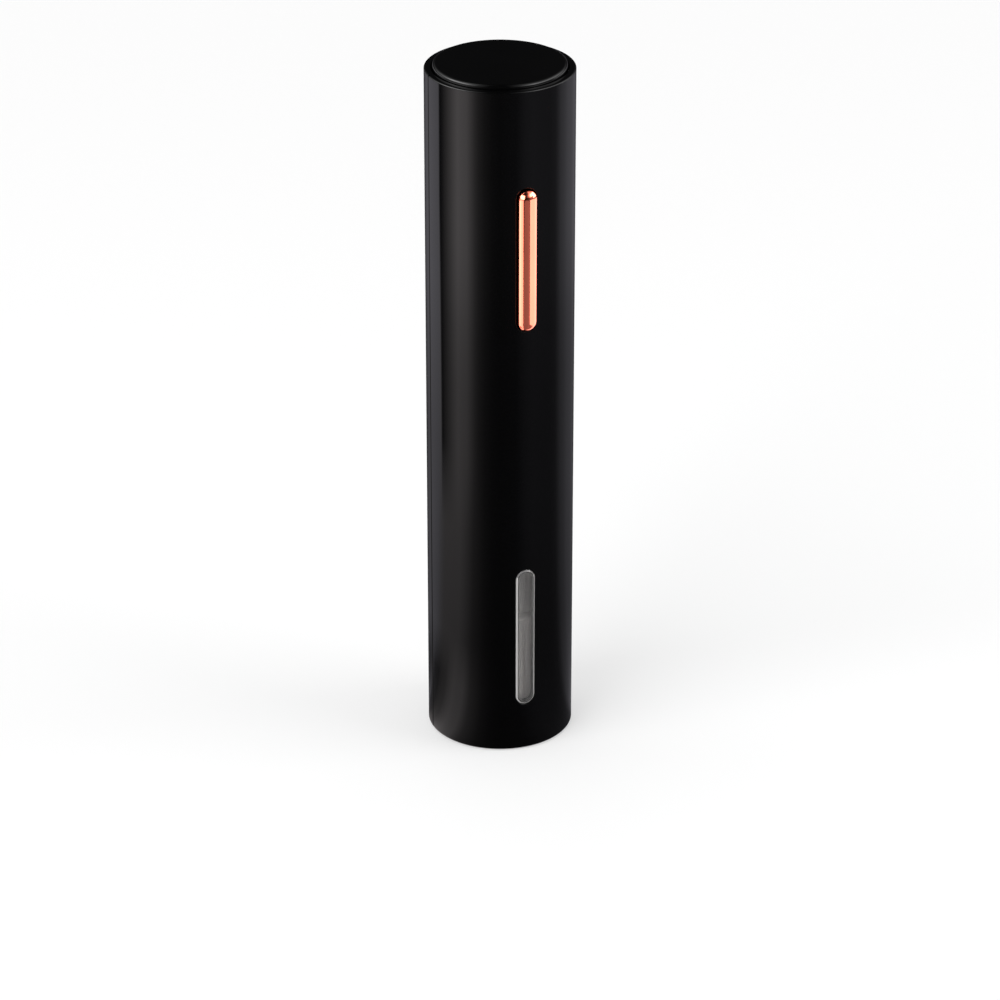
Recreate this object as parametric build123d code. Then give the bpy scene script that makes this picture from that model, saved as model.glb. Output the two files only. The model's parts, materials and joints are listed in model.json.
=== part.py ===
from build123d import *
import os
from math import acos, cos, pi, radians, sin, sqrt, tan

# Electric wine opener, millimetres. The barrel stands on z = 0 with its axis on +Z, and the button faces -Y.
# Distances called depth are measured from the barrel's axis towards the front.

# Barrel, in a front and a rear half
bore_radius = 21.9
shell_wall = 2.1
barrel_height = 232.0
rim_round = 0.45
foot_round = 0.9
seam_chamfer = 0.3
rib_thickness = 2.0
fit_gap = 0.1
seat_gap = 0.05
body_radius = bore_radius + shell_wall

# Snap tabs that hold the halves together
foot_tab_level = 62.0
middle_tab_drop = 102.0
rim_tab_drop = 27.0
tab_height = 8.0
tab_reach = 3.2
tab_thickness = 1.2
tab_bead = 0.4

# Rocker button
rocker_drop = 56.6
rocker_length = 47.7
rocker_width = 5.9
rocker_proud = 2.4
rocker_crown = 1.4
rocker_slot_gap = 0.5
rocker_base_inset = 0.9
rocker_lug_width = 5.0
rocker_lug_height = 4.0
pin_radius = 0.8
pin_running_gap = 0.05
pin_depth_inset = 2.1
lug_thickness = 1.8
lug_side_gap = 0.55
lug_cover = 1.3
switch_spread = 14.0
nub_radius = 1.6
nub_length = 0.5
press_gap = 0.1

# Switches and control board
plunger_radius = 1.75
plunger_proud = 0.9
plunger_length = 2.4
plunger_room = 1.0
plunger_gap = 0.05
switch_size = 6.0
switch_height = 3.0
board_thickness = 1.5
board_width = 21.0
board_below = 22.4
board_above = 23.6
chip_width = 4.0
chip_length = 5.0
chip_height = 1.5
chip_offset = 7.4
chip_drop = 6.4
chip_lift = 6.6
lower_boss_drop = 4.9
upper_boss_lift = 20.6
board_screw_radius = 0.8
board_screw_head = 1.8
board_screw_head_height = 1.3
board_screw_length = 5.0
boss_radius = 2.4

# Clear window
window_center = 41.4
window_length = 49.5
window_width = 6.6
lens_proud = 0.1
lens_gap = 0.08
lens_flange = 2.0
lens_flange_thickness = 1.2

# Bottle collar
collar_inset = 0.3
collar_bore_radius = 15.6
collar_mouth = 2.4
collar_height = 12.0
collar_flange_top = 8.0
collar_groove_bottom = 3.9
collar_groove_depth = 1.8
socket_depth = 4.0
socket_wall = 1.4

# Cork sleeve
neck_bore_radius = 16.2
neck_wall = 1.7
neck_stop = 44.0
stop_thickness = 2.0
cork_bore_radius = 13.2
cork_wall = 1.4
sleeve_flange = 3.0
cork_ribs = 6
cork_rib_height = 1.3
cork_rib_width = 1.4
cork_rib_clear = 5.0
sleeve_rib_drop = 14.0

# Worm
worm_tip = 14.5
worm_wire = 1.5
worm_coil_radius = 3.0
worm_pitch = 9.5
worm_point = 6.0
worm_point_radius = 0.25
worm_bury = 2.6
hub_radius = 7.5
hub_length = 10.6
hub_gap = 0.4
hub_round = 1.0
shaft_seat = 6.4
output_shaft_radius = 4.0
shaft_flat = 3.3
set_screw_radius = 1.5
set_screw_drop = 3.0
set_screw_socket = 0.75

# Planetary gears
gear_module = 0.55
sun_teeth = 12
planet_teeth = 24
planet_count = 3
pressure_angle = 25.0
addendum = 0.9
dedendum = 1.25
backlash = 0.08
flank_steps = 4
first_face = 5.0
second_face = 7.0
planet_pin_radius = 1.25
planet_running_gap = 0.05
carrier_rim = 2.0
first_plate = 2.0
output_plate = 2.5
side_gap = 0.3
pin_shortfall = 0.1
ring_teeth = sun_teeth + 2 * planet_teeth
planet_orbit = gear_module * (sun_teeth + planet_teeth) / 2

# Gear case
case_floor_thickness = 5.0
case_rib_gap = 2.4
case_head_room = 0.8
ear_radius = 2.1
ear_gap = 0.2
washer_thickness = 0.5
washer_radius = 9.5
washer_gap = 0.1
bush_wall = 2.0
bush_lip = 1.0
bush_running_gap = 0.03
motor_plate_thickness = 3.0
ear_screw_radius = 0.8
ear_screw_head = 1.7
ear_screw_head_height = 1.2
ear_screw_length = 8.0
case_rib_rise = 7.0

# Motor
can_radius = 13.85
can_wall = 0.8
can_face = 1.0
can_length = 31.0
nose_radius = 5.0
nose_height = 2.0
bell_height = 4.5
bell_plug = 2.0
bell_cap = 1.5
bell_cavity_radius = 10.0
bell_boss_radius = 4.0
bell_boss_height = 1.2
motor_shaft_radius = 1.15
motor_bush_wall = 1.6
motor_bush_length = 3.0
motor_running_gap = 0.03
core_radius = 8.8
core_shoe = 1.8
core_arm_width = 3.6
core_hub_radius = 3.0
core_shoe_half_angle = 48.0
core_start = 7.0
core_length = 16.0
winding_thickness = 1.7
winding_overhang = 2.2
magnet_gap = 0.4
magnet_half_angle = 62.0
commutator_radius = 3.2
commutator_slit = 0.4
commutator_length = 6.0
brush_width = 2.6
brush_height = 2.4
brush_gap = 0.05
terminal_place = 9.0
terminal_width = 2.8
terminal_thickness = 0.5
terminal_rise = 2.2
motor_screw_place = 8.0
motor_screw_radius = 1.25
motor_screw_head = 2.2
motor_screw_head_height = 1.4
motor_screw_length = 4.4
motor_rib_inset = 15.0
lead_radius = 0.6
lead_drop = 4.6
lead_bend = 2.0
lead_stand_off = 2.1

# Battery tray and its four cells
tray_room = 3.6
tray_floor_thickness = 2.0
cell_radius = 7.1
cell_length = 50.5
cell_nub_radius = 2.7
cell_nub_height = 1.3
cell_round = 0.5
cell_gap = 0.3
cell_spacing = 15.8
tray_offset = 2.0
tube_wall = 0.9
tray_rim_wall = 1.85
tray_rim_height = 6.5
tray_rim_gap = 0.15
tray_groove_height = 1.5
tray_groove_depth = 0.75
tray_lap = 3.0
tray_shelf = 3.4
shelf_side_gap = 1.0
contact_thickness = 0.4
contact_radius = 5.0
contact_tab = 3.0
contact_slot_gap = 0.2
spring_height = 4.0
spring_radius = 3.4
spring_wire = 0.35
spring_turns = 3.5

# Battery cover, pushed into the rim
cover_rise = 1.5
cover_depth = 8.4
cover_gap = 0.5
cover_round = 1.1
cover_wall = 2.0
plug_wall = 1.55
plug_clear = 0.4
plug_gap = 0.15
contact_bar = 7.0

# Heights of the stack, from the cover down to the sleeve
cover_top = barrel_height + cover_rise
cover_ceiling = cover_top - cover_wall
cover_seat = barrel_height - cover_depth
cover_contact = cover_seat - 2 * contact_thickness
plug_bottom = cover_contact - cell_nub_height + plug_clear
tray_rim_bottom = cover_seat - tray_rim_height
tube_top = tray_rim_bottom + tray_lap
raised_cell = cover_contact - cell_length
contact_top = raised_cell - spring_height
tray_floor = contact_top - contact_thickness
tray_bottom = tray_floor - tray_floor_thickness
bell_top = tray_bottom - tray_room
can_top = bell_top - bell_height
motor_face = can_top - can_length
case_top = motor_face - motor_plate_thickness
first_top = case_top - case_head_room
first_bottom = first_top - first_face
first_plate_top = first_bottom - side_gap
first_plate_bottom = first_plate_top - first_plate
second_top = first_plate_bottom - side_gap
second_bottom = second_top - second_face
output_plate_top = second_bottom - side_gap
output_plate_bottom = output_plate_top - output_plate
washer_top = output_plate_bottom - washer_gap
case_floor = washer_top - washer_thickness
sleeve_top = case_floor - case_floor_thickness
sleeve_rib_level = sleeve_top - sleeve_rib_drop
case_rib_level = case_floor + case_rib_rise
collar_socket_top = collar_height + socket_depth

# Heights of the control pieces and the snap tabs
rocker_center = barrel_height - rocker_drop
board_bottom = rocker_center - board_below
board_top = rocker_center + board_above
chip_levels = (rocker_center - chip_drop, rocker_center + chip_lift)
board_screw_levels = (rocker_center - lower_boss_drop, rocker_center + upper_boss_lift)
tab_levels = (foot_tab_level, barrel_height - middle_tab_drop, barrel_height - rim_tab_drop)

# Depths of the control pieces, from the barrel's bore inwards
rocker_base = bore_radius - rocker_base_inset
pin_depth = bore_radius - pin_depth_inset
nub_tip = rocker_base - nub_length
plunger_tip = nub_tip - press_gap
switch_front = plunger_tip - plunger_proud
board_front = switch_front - switch_height
board_back = board_front - board_thickness

# Radii that follow from the sizes above
ring_root = gear_module * (ring_teeth / 2 + dedendum)
case_radius = bore_radius - case_rib_gap
ear_orbit = bore_radius - ear_gap - ear_radius
ear_angles = (90.0, 210.0, 330.0)
collar_radius = bore_radius - fit_gap - seat_gap
socket_radius = neck_bore_radius + neck_wall + fit_gap
cork_outer = cork_bore_radius + cork_wall
bush_bore = output_shaft_radius + bush_running_gap
bush_radius = bush_bore + bush_wall
carrier_radius = planet_orbit + planet_pin_radius + carrier_rim
tube_bore = cell_radius + cell_gap
tube_radius = tube_bore + tube_wall
tray_rim_radius = bore_radius - tray_rim_gap
tray_rim_bore = tray_rim_radius - tray_rim_wall
plug_radius = tray_rim_bore - plug_gap
cover_radius = bore_radius - cover_gap
hub_top = sleeve_top - bush_lip - hub_gap
hub_bottom = hub_top - hub_length
cell_front = tray_offset - cell_spacing / 2
cell_rear = tray_offset + cell_spacing / 2
cell_side = cell_spacing / 2
tray_radius = sqrt(cell_side**2 + cell_rear**2) + tube_radius
tray_front = cell_front - tube_radius

upright = (Align.CENTER, Align.CENTER, Align.MIN)


def rod(radius, bottom, top, x=0.0, y=0.0):
    return Pos(x, y, bottom) * Cylinder(radius, top - bottom, align=upright)


def tube(outer, inner, bottom, top, x=0.0, y=0.0):
    return rod(outer, bottom, top, x, y) - rod(inner, bottom, top, x, y)


def block(x0, x1, y0, y1, z0, z1):
    middle = Pos((x0 + x1) / 2, (y0 + y1) / 2, (z0 + z1) / 2)
    return middle * Box(x1 - x0, y1 - y0, z1 - z0)


def turned(points, arc=360.0):
    outline = make_face(Polyline(*points, close=True))
    return revolve(Plane.XZ * outline, Axis.Z, arc)


def half_ring(outer, inner, bottom, top):
    return turned([(inner, bottom), (outer, bottom), (outer, top), (inner, top)], 180.0)


def front_rod(radius, near, far, x, z):
    return extrude(Plane.XZ.offset(near) * Pos(x, z) * Circle(radius), amount=far - near)


def front_pill(length, width, near, far, z):
    outline = Plane.XZ.offset(near) * Pos(0, z) * Rot(0, 0, 90) * SlotOverall(length, width)
    return extrude(outline, amount=far - near)


def around(angle, radius):
    return radius * cos(radians(angle)), radius * sin(radians(angle))


def helix_rod(wire, radius, pitch, bottom, height):
    path = Pos(0, 0, bottom) * Helix(pitch, height, radius)
    return sweep(Plane(path @ 0, z_dir=path % 0) * Circle(wire), path=path, is_frenet=True)


# Involute gear outline. At radius r a tooth's half angle is the pitch half angle plus inv(pressure angle)
# minus inv(acos(base radius / r)), and it is radial inside the base circle.
def gear_outline(teeth, tip, root, slack):
    pitch_radius = gear_module * teeth / 2
    base_radius = pitch_radius * cos(radians(pressure_angle))
    flank = [root + (tip - root) * step / (flank_steps - 1) for step in range(flank_steps)]
    pitch_half = (pi * gear_module / 2 + slack) / (2 * pitch_radius)
    pitch_inv = tan(radians(pressure_angle)) - radians(pressure_angle)
    half_angles = []
    for radius in flank:
        roll = acos(min(1.0, base_radius / radius))
        half_angles.append(pitch_half + pitch_inv - (tan(roll) - roll))
    points = []
    for tooth in range(teeth):
        middle = 2 * pi * tooth / teeth
        rising = [(radius, middle - half) for radius, half in zip(flank, half_angles)]
        falling = [(radius, middle + half) for radius, half in zip(flank, half_angles)]
        for radius, angle in rising + falling[::-1]:
            points.append((radius * cos(angle), radius * sin(angle)))
    return make_face(Polyline(*points, close=True))


def spur_gear(teeth, bottom, top):
    pitch_radius = gear_module * teeth / 2
    tip = pitch_radius + gear_module * addendum
    root = pitch_radius - gear_module * dedendum
    return Pos(0, 0, bottom) * extrude(gear_outline(teeth, tip, root, -backlash), amount=top - bottom)


def planet_gear(index, bottom, top):
    blank = spur_gear(planet_teeth, bottom, top) - rod(planet_pin_radius + planet_running_gap, bottom, top)
    turn = 360.0 / planet_count * index
    x, y = around(turn, planet_orbit)
    return Pos(x, y, 0) * Rot(0, 0, 180.0 / planet_teeth) * blank


def planet_pins(bottom, top):
    pins = []
    for index in range(planet_count):
        x, y = around(360.0 / planet_count * index, planet_orbit)
        pins.append(rod(planet_pin_radius, bottom, top, x, y))
    return Compound(children=pins)


def pin_holes(bottom, top):
    return [rod(planet_pin_radius, bottom, top, *around(360.0 / planet_count * index, planet_orbit))
            for index in range(planet_count)]


def ear_posts(radius, bottom, top):
    return [rod(radius, bottom, top, *around(angle, ear_orbit)) for angle in ear_angles]


# One screw with its head at z = 0 to head_height and its shank below
def screw(radius, length, head, head_height):
    body = rod(radius, -length, 0.0) + rod(head, 0.0, head_height)
    drive = Pos(0, 0, head_height) * Box(head * 0.35, head * 1.1, head_height, align=(
        Align.CENTER, Align.CENTER, Align.CENTER))
    return body - drive


# Half of the barrel on the +Y side, with the half-ring ribs that trap what is inside
def barrel_half():
    outline = make_face(Polyline((bore_radius, 0), (body_radius, 0), (body_radius, barrel_height),
                                 (bore_radius, barrel_height), close=True))
    outer = outline.vertices().group_by(Axis.X)[-1]
    outline = fillet(outer.sort_by(Axis.Y)[-1], rim_round)
    outer = outline.vertices().filter_by(lambda v: v.Y < foot_round and v.X > body_radius - foot_round / 2)
    outline = fillet(outer, foot_round)
    half = revolve(Plane.XZ * outline, Axis.Z, 180.0)
    for side in (-1, 1):
        notch = Pos(side * body_radius, 0, barrel_height / 2) * Rot(0, 0, 45)
        half -= notch * Box(seam_chamfer * sqrt(2), seam_chamfer * sqrt(2), barrel_height)
    join = bore_radius + shell_wall / 2
    half += half_ring(join, collar_radius - collar_groove_depth + fit_gap,
                      collar_groove_bottom + fit_gap, collar_groove_bottom + rib_thickness)
    half += half_ring(join, cork_outer + fit_gap, sleeve_rib_level - rib_thickness / 2,
                      sleeve_rib_level + rib_thickness / 2)
    case_rib = half_ring(join, case_radius + fit_gap, case_rib_level - rib_thickness / 2,
                         case_rib_level + rib_thickness / 2)
    for turn in (0.0, 180.0):
        for post in ear_posts(ear_radius + fit_gap, case_floor, case_top):
            case_rib -= Rot(0, 0, turn) * post
    half += case_rib
    motor_rib = motor_face + motor_rib_inset
    half += half_ring(join, can_radius + fit_gap, motor_rib, motor_rib + rib_thickness)
    groove = cover_seat - tray_rim_height / 2
    half += half_ring(join, tray_rim_radius - tray_groove_depth + fit_gap,
                      groove - tray_groove_height / 2 + fit_gap, groove + tray_groove_height / 2 - fit_gap)
    shelf = half_ring(join, bore_radius - tray_shelf, tray_bottom - rib_thickness, tray_bottom)
    return half, shelf


def snap_tabs():
    outside = bore_radius - fit_gap - tab_reach**2 / (2 * bore_radius)
    tabs = []
    for level in tab_levels:
        low = level - tab_height / 2
        high = level + tab_height / 2
        for side in (-1, 1):
            tab = block(outside - tab_thickness, outside, -tab_reach, tab_reach, low, high)
            tab += block(outside - tab_thickness, bore_radius + shell_wall / 2, fit_gap, tab_reach, low, high)
            tab += rod(tab_bead, low, high, outside, -tab_reach * 0.7)
            tabs.append(tab if side > 0 else Rot(0, 180, 0) * Pos(0, 0, -2 * level) * tab)
    return tabs


def tab_pockets():
    outside = bore_radius - fit_gap - tab_reach**2 / (2 * bore_radius)
    pockets = []
    for level in tab_levels:
        low = level - tab_height / 2 - fit_gap
        high = level + tab_height / 2 + fit_gap
        for side in (-1, 1):
            pocket = rod(tab_bead + fit_gap, low, high, side * outside, -tab_reach * 0.7)
            pockets.append(pocket)
    return pockets


barrel, tray_ledge = barrel_half()

rear_shell = barrel + tray_ledge
for tab in snap_tabs():
    rear_shell += tab

side_room = board_width / 2 + shelf_side_gap
front_ledge = Rot(0, 0, 180) * tray_ledge
front_ledge -= block(-side_room, side_room, -body_radius, 0, tray_bottom - rib_thickness, tray_bottom)
front_shell = Rot(0, 0, 180) * barrel + front_ledge
pivot_inner = rocker_width / 2 + lug_side_gap
pivot_outer = pivot_inner + lug_thickness
for side in (-1, 1):
    near = min(side * pivot_inner, side * pivot_outer)
    front_shell += block(near, near + lug_thickness, -bore_radius - shell_wall / 4, -pin_depth + lug_cover,
                         rocker_center - rocker_lug_height / 2, rocker_center + rocker_lug_height / 2)
front_shell -= front_pill(rocker_length + 2 * rocker_slot_gap, rocker_width + 2 * rocker_slot_gap,
                          pin_depth - lug_cover - fit_gap, body_radius + shell_wall, rocker_center)
front_shell -= front_pill(window_length + 2 * lens_gap, window_width + 2 * lens_gap,
                          bore_radius - shell_wall, body_radius + shell_wall, window_center)
pin_bar = Pos(0, -pin_depth, rocker_center) * Rot(0, 90, 0)
front_shell -= pin_bar * Cylinder(pin_radius + seat_gap, 2 * pivot_outer)
for pocket in tab_pockets():
    front_shell -= pocket

window_lens = front_pill(window_length, window_width, bore_radius - lens_flange_thickness - fit_gap,
                         body_radius + shell_wall, window_center)
window_lens &= tube(body_radius + lens_proud, bore_radius - lens_flange_thickness - fit_gap, 0, barrel_height)
lens_rim = front_pill(window_length + 2 * lens_flange, window_width + 2 * lens_flange,
                      bore_radius / 2, body_radius, window_center)
window_lens += lens_rim & tube(bore_radius - seat_gap, bore_radius - lens_flange_thickness - fit_gap,
                               0, barrel_height)

# Rocker: a pill cut to a domed crown by a capsule, with a lug at the pin and a nub over each switch
crown_top = body_radius + rocker_proud
crown_radius = ((rocker_width / 2) ** 2 + rocker_crown**2) / (2 * rocker_crown)
crown_axis = crown_top - crown_radius
crown_half = (rocker_length - rocker_width) / 2
crown = rod(crown_radius, rocker_center - crown_half, rocker_center + crown_half, 0, -crown_axis)
for end in (-crown_half, crown_half):
    crown += Pos(0, -crown_axis, rocker_center + end) * Sphere(crown_radius)
rocker_button = front_pill(rocker_length, rocker_width, crown_axis, crown_top + fit_gap, rocker_center) & crown
rocker_button += front_pill(rocker_length, rocker_width, rocker_base, crown_axis, rocker_center)
rocker_button += block(-rocker_lug_width / 2, rocker_lug_width / 2, -rocker_base - fit_gap,
                       -pin_depth + lug_cover, rocker_center - rocker_lug_height / 2,
                       rocker_center + rocker_lug_height / 2)
rocker_button -= pin_bar * Cylinder(pin_radius + pin_running_gap, rocker_width)
for level in (rocker_center - switch_spread, rocker_center + switch_spread):
    rocker_button += front_rod(nub_radius, nub_tip, rocker_base + fit_gap, 0, level)

rocker_pin = pin_bar * Cylinder(pin_radius, 2 * pivot_outer)

lower_plunger = front_rod(plunger_radius, plunger_tip - plunger_length, plunger_tip, 0,
                          rocker_center - switch_spread)
upper_plunger = front_rod(plunger_radius, plunger_tip - plunger_length, plunger_tip, 0,
                          rocker_center + switch_spread)
switches = []
for level in (rocker_center - switch_spread, rocker_center + switch_spread):
    body = block(-switch_size / 2, switch_size / 2, -switch_front, -board_front,
                 level - switch_size / 2, level + switch_size / 2)
    body -= front_rod(plunger_radius + plunger_gap, plunger_tip - plunger_length - plunger_room,
                      switch_front, 0, level)
    switches.append(body)
switch_bodies = Compound(children=switches)

control_board = block(-board_width / 2, board_width / 2, -board_front, -board_back, board_bottom, board_top)
screws = []
for level in board_screw_levels:
    control_board -= front_rod(board_screw_radius + fit_gap, board_back, board_front, 0, level)
    one = screw(board_screw_radius, board_thickness + board_screw_length, board_screw_head,
                board_screw_head_height)
    screws.append(Pos(0, -board_front, level) * Rot(90, 0, 0) * one)
board_screws = Compound(children=screws)
chips = []
for side in (-1, 1):
    for level in chip_levels:
        middle = side * chip_offset
        chips.append(block(middle - chip_width / 2, middle + chip_width / 2, -board_front - chip_height,
                           -board_front, level - chip_length / 2, level + chip_length / 2))
board_chips = Compound(children=chips)

groove_root = collar_radius - collar_groove_depth
groove_top = collar_groove_bottom + rib_thickness + fit_gap
socket_outer = socket_radius + socket_wall
bottle_collar = turned([
    (collar_bore_radius + collar_mouth, collar_inset), (collar_radius, collar_inset),
    (collar_radius, collar_groove_bottom), (groove_root, collar_groove_bottom), (groove_root, groove_top),
    (collar_radius, groove_top), (collar_radius, collar_flange_top), (socket_outer, collar_flange_top),
    (socket_outer, collar_socket_top), (socket_radius, collar_socket_top), (socket_radius, collar_height),
    (collar_bore_radius, collar_height), (collar_bore_radius, collar_inset + collar_mouth)])

neck_outer = neck_bore_radius + neck_wall
flange_bottom = sleeve_top - sleeve_flange
cork_sleeve = turned([
    (neck_bore_radius, collar_height), (neck_outer, collar_height), (neck_outer, neck_stop + stop_thickness),
    (cork_outer, neck_stop + stop_thickness), (cork_outer, flange_bottom), (case_radius, flange_bottom),
    (case_radius, sleeve_top), (cork_bore_radius, sleeve_top), (cork_bore_radius, neck_stop),
    (neck_bore_radius, neck_stop)])
for index in range(cork_ribs):
    rib = block(cork_bore_radius - cork_rib_height, cork_bore_radius + cork_wall / 2, -cork_rib_width / 2,
                cork_rib_width / 2, neck_stop + cork_rib_clear, flange_bottom)
    cork_sleeve += Rot(0, 0, 360.0 / cork_ribs * index) * rib
for ear in ear_posts(ear_radius, flange_bottom, sleeve_top):
    cork_sleeve += ear
for hole in ear_posts(ear_screw_radius, flange_bottom, sleeve_top):
    cork_sleeve -= hole

gear_case = rod(case_radius, sleeve_top, case_top)
for ear in ear_posts(ear_radius, sleeve_top, case_top):
    gear_case += ear
ring_tip = gear_module * (ring_teeth / 2 - addendum)
ring_space = Rot(0, 0, 180.0 / ring_teeth) * gear_outline(ring_teeth, ring_root, ring_tip, backlash)
gear_case -= Pos(0, 0, case_floor) * extrude(ring_space, amount=case_top - case_floor)
gear_case -= rod(bush_radius, sleeve_top, case_floor)
for hole in ear_posts(ear_screw_radius, sleeve_top, case_top):
    gear_case -= hole

one = Rot(180, 0, 0) * screw(ear_screw_radius, ear_screw_length, ear_screw_head, ear_screw_head_height)
sleeve_screws = Compound(children=[Pos(*around(angle, ear_orbit), flange_bottom) * one for angle in ear_angles])
one = screw(ear_screw_radius, ear_screw_length, ear_screw_head, ear_screw_head_height)
plate_screws = Compound(children=[Pos(*around(angle, ear_orbit), motor_face) * one for angle in ear_angles])

output_bush = tube(bush_radius, bush_bore, sleeve_top - bush_lip, case_floor)
thrust_washer = tube(washer_radius, bush_bore, case_floor, washer_top)

output_shaft_end = hub_top - shaft_seat
output_carrier = rod(carrier_radius, output_plate_bottom, output_plate_top)
for hole in pin_holes(output_plate_bottom, output_plate_top):
    output_carrier -= hole
output_shaft = rod(output_shaft_radius, output_shaft_end, output_plate_bottom)
output_shaft -= block(shaft_flat, bush_radius, -bush_radius, bush_radius, output_shaft_end, hub_top)
output_carrier += output_shaft
second_pins = planet_pins(output_plate_bottom, second_top - pin_shortfall)
second_planets = [planet_gear(index, second_bottom, second_top) for index in range(planet_count)]

first_carrier = rod(carrier_radius, first_plate_bottom, first_plate_top)
for hole in pin_holes(first_plate_bottom, first_plate_top):
    first_carrier -= hole
first_carrier += spur_gear(sun_teeth, second_bottom, first_plate_bottom)
first_pins = planet_pins(first_plate_bottom, first_top - pin_shortfall)
first_planets = [planet_gear(index, first_bottom, first_top) for index in range(planet_count)]

sun_pinion = spur_gear(sun_teeth, first_bottom, first_top) - rod(motor_shaft_radius, first_bottom, first_top)

# Worm: a right-hand coil whose lowest part tapers to a point; its upper end is set in the hub
worm_coil_start = worm_tip + worm_point
worm = helix_rod(worm_wire, worm_coil_radius, worm_pitch, worm_coil_start,
                 hub_bottom + worm_bury - worm_coil_start)
point_turn = 360.0 * worm_point / worm_pitch
point_path = Pos(0, 0, worm_tip) * Rot(0, 0, -point_turn) * Helix(worm_pitch, worm_point, worm_coil_radius)
worm += sweep([Plane(point_path @ 0, z_dir=point_path % 0) * Circle(worm_point_radius),
               Plane(point_path @ 1, z_dir=point_path % 1) * Circle(worm_wire)],
              path=point_path, multisection=True, is_frenet=True)

worm_hub = rod(hub_radius, hub_bottom, hub_top)
worm_hub = fillet(worm_hub.edges().filter_by(GeomType.CIRCLE), hub_round)
worm_hub -= rod(output_shaft_radius, output_shaft_end, hub_top) - block(
    shaft_flat, bush_radius, -bush_radius, bush_radius, output_shaft_end, hub_top)
set_screw_level = hub_top - set_screw_drop
set_screw_axis = Pos(shaft_flat, 0, set_screw_level) * Rot(0, 90, 0)
worm_hub -= set_screw_axis * Cylinder(set_screw_radius, hub_radius, align=upright)
hub_set_screw = set_screw_axis * Cylinder(set_screw_radius, hub_radius - shaft_flat - hub_round, align=upright)
socket_bottom = hub_radius - hub_round - set_screw_radius
hub_set_screw -= Pos(socket_bottom, 0, set_screw_level) * Rot(0, 90, 0) * extrude(
    RegularPolygon(set_screw_socket, 6), amount=set_screw_radius)

motor_plate = rod(case_radius, case_top, motor_face)
for ear in ear_posts(ear_radius, case_top, motor_face):
    motor_plate += ear
for hole in ear_posts(ear_screw_radius, case_top, motor_face):
    motor_plate -= hole
motor_plate -= rod(nose_radius + seat_gap, case_top, motor_face)
motor_screw_list = []
for side in (-1, 1):
    place = side * motor_screw_place
    motor_plate -= rod(motor_screw_radius, case_top, motor_face, place)
    motor_plate -= rod(motor_screw_head + seat_gap, case_top, case_top + motor_screw_head_height, place)
    one = Rot(180, 0, 0) * screw(motor_screw_radius, motor_screw_length, motor_screw_head,
                                 motor_screw_head_height)
    motor_screw_list.append(Pos(place, 0, case_top + motor_screw_head_height) * one)
motor_screws = Compound(children=motor_screw_list)

motor_bush_radius = motor_shaft_radius + motor_running_gap + motor_bush_wall
nose_bottom = motor_face - nose_height
motor_can = rod(can_radius, motor_face, can_top) - rod(can_radius - can_wall, motor_face + can_face, can_top)
motor_can += rod(nose_radius, nose_bottom, motor_face)
motor_can -= rod(motor_bush_radius, nose_bottom, motor_face + can_face)
for side in (-1, 1):
    motor_can -= rod(motor_screw_radius, motor_face, motor_face + can_face, side * motor_screw_place)

boss_top = bell_top + bell_boss_height
motor_end_bell = rod(can_radius - can_wall, can_top - bell_plug, can_top) + rod(can_radius, can_top, bell_top)
motor_end_bell -= rod(bell_cavity_radius, can_top - bell_plug, bell_top - bell_cap)
motor_end_bell += rod(bell_boss_radius, bell_top - bell_cap, boss_top)
motor_end_bell -= rod(motor_bush_radius, bell_top - bell_cap, boss_top)
front_bush = tube(motor_bush_radius, motor_shaft_radius + motor_running_gap, nose_bottom,
                  nose_bottom + motor_bush_length)
rear_bush = tube(motor_bush_radius, motor_shaft_radius + motor_running_gap, bell_top - bell_cap, boss_top)
motor_bushes = Compound(children=[front_bush, rear_bush])

core_bottom = motor_face + core_start
core_top = core_bottom + core_length
commutator_bottom = core_top + winding_overhang + side_gap
commutator_top = commutator_bottom + commutator_length
brush_level = bell_top - bell_cap - brush_height
terminal_list = []
brush_list = []
for side in (-1, 1):
    inner = side * (terminal_place - terminal_thickness / 2)
    outer = side * (terminal_place + terminal_thickness / 2)
    blade = block(min(inner, outer), max(inner, outer), -terminal_width / 2, terminal_width / 2,
                  brush_level, bell_top + terminal_rise)
    motor_end_bell -= blade
    terminal_list.append(blade)
    tip = side * (commutator_radius + brush_gap)
    brush_list.append(block(min(tip, inner), max(tip, inner), -brush_width / 2, brush_width / 2,
                            brush_level, brush_level + brush_height - seat_gap))
motor_terminals = Compound(children=terminal_list)
motor_brushes = Compound(children=brush_list)

magnet_outer = can_radius - can_wall
magnet_inner = core_radius + magnet_gap
magnet_piece = turned([(magnet_inner, core_bottom), (magnet_outer, core_bottom), (magnet_outer, core_top),
                       (magnet_inner, core_top)], 2 * magnet_half_angle)
motor_magnets = Compound(children=[Rot(0, 0, turn - magnet_half_angle) * magnet_piece for turn in (0.0, 180.0)])

motor_shaft = rod(motor_shaft_radius, first_bottom, boss_top + motor_running_gap)

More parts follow.
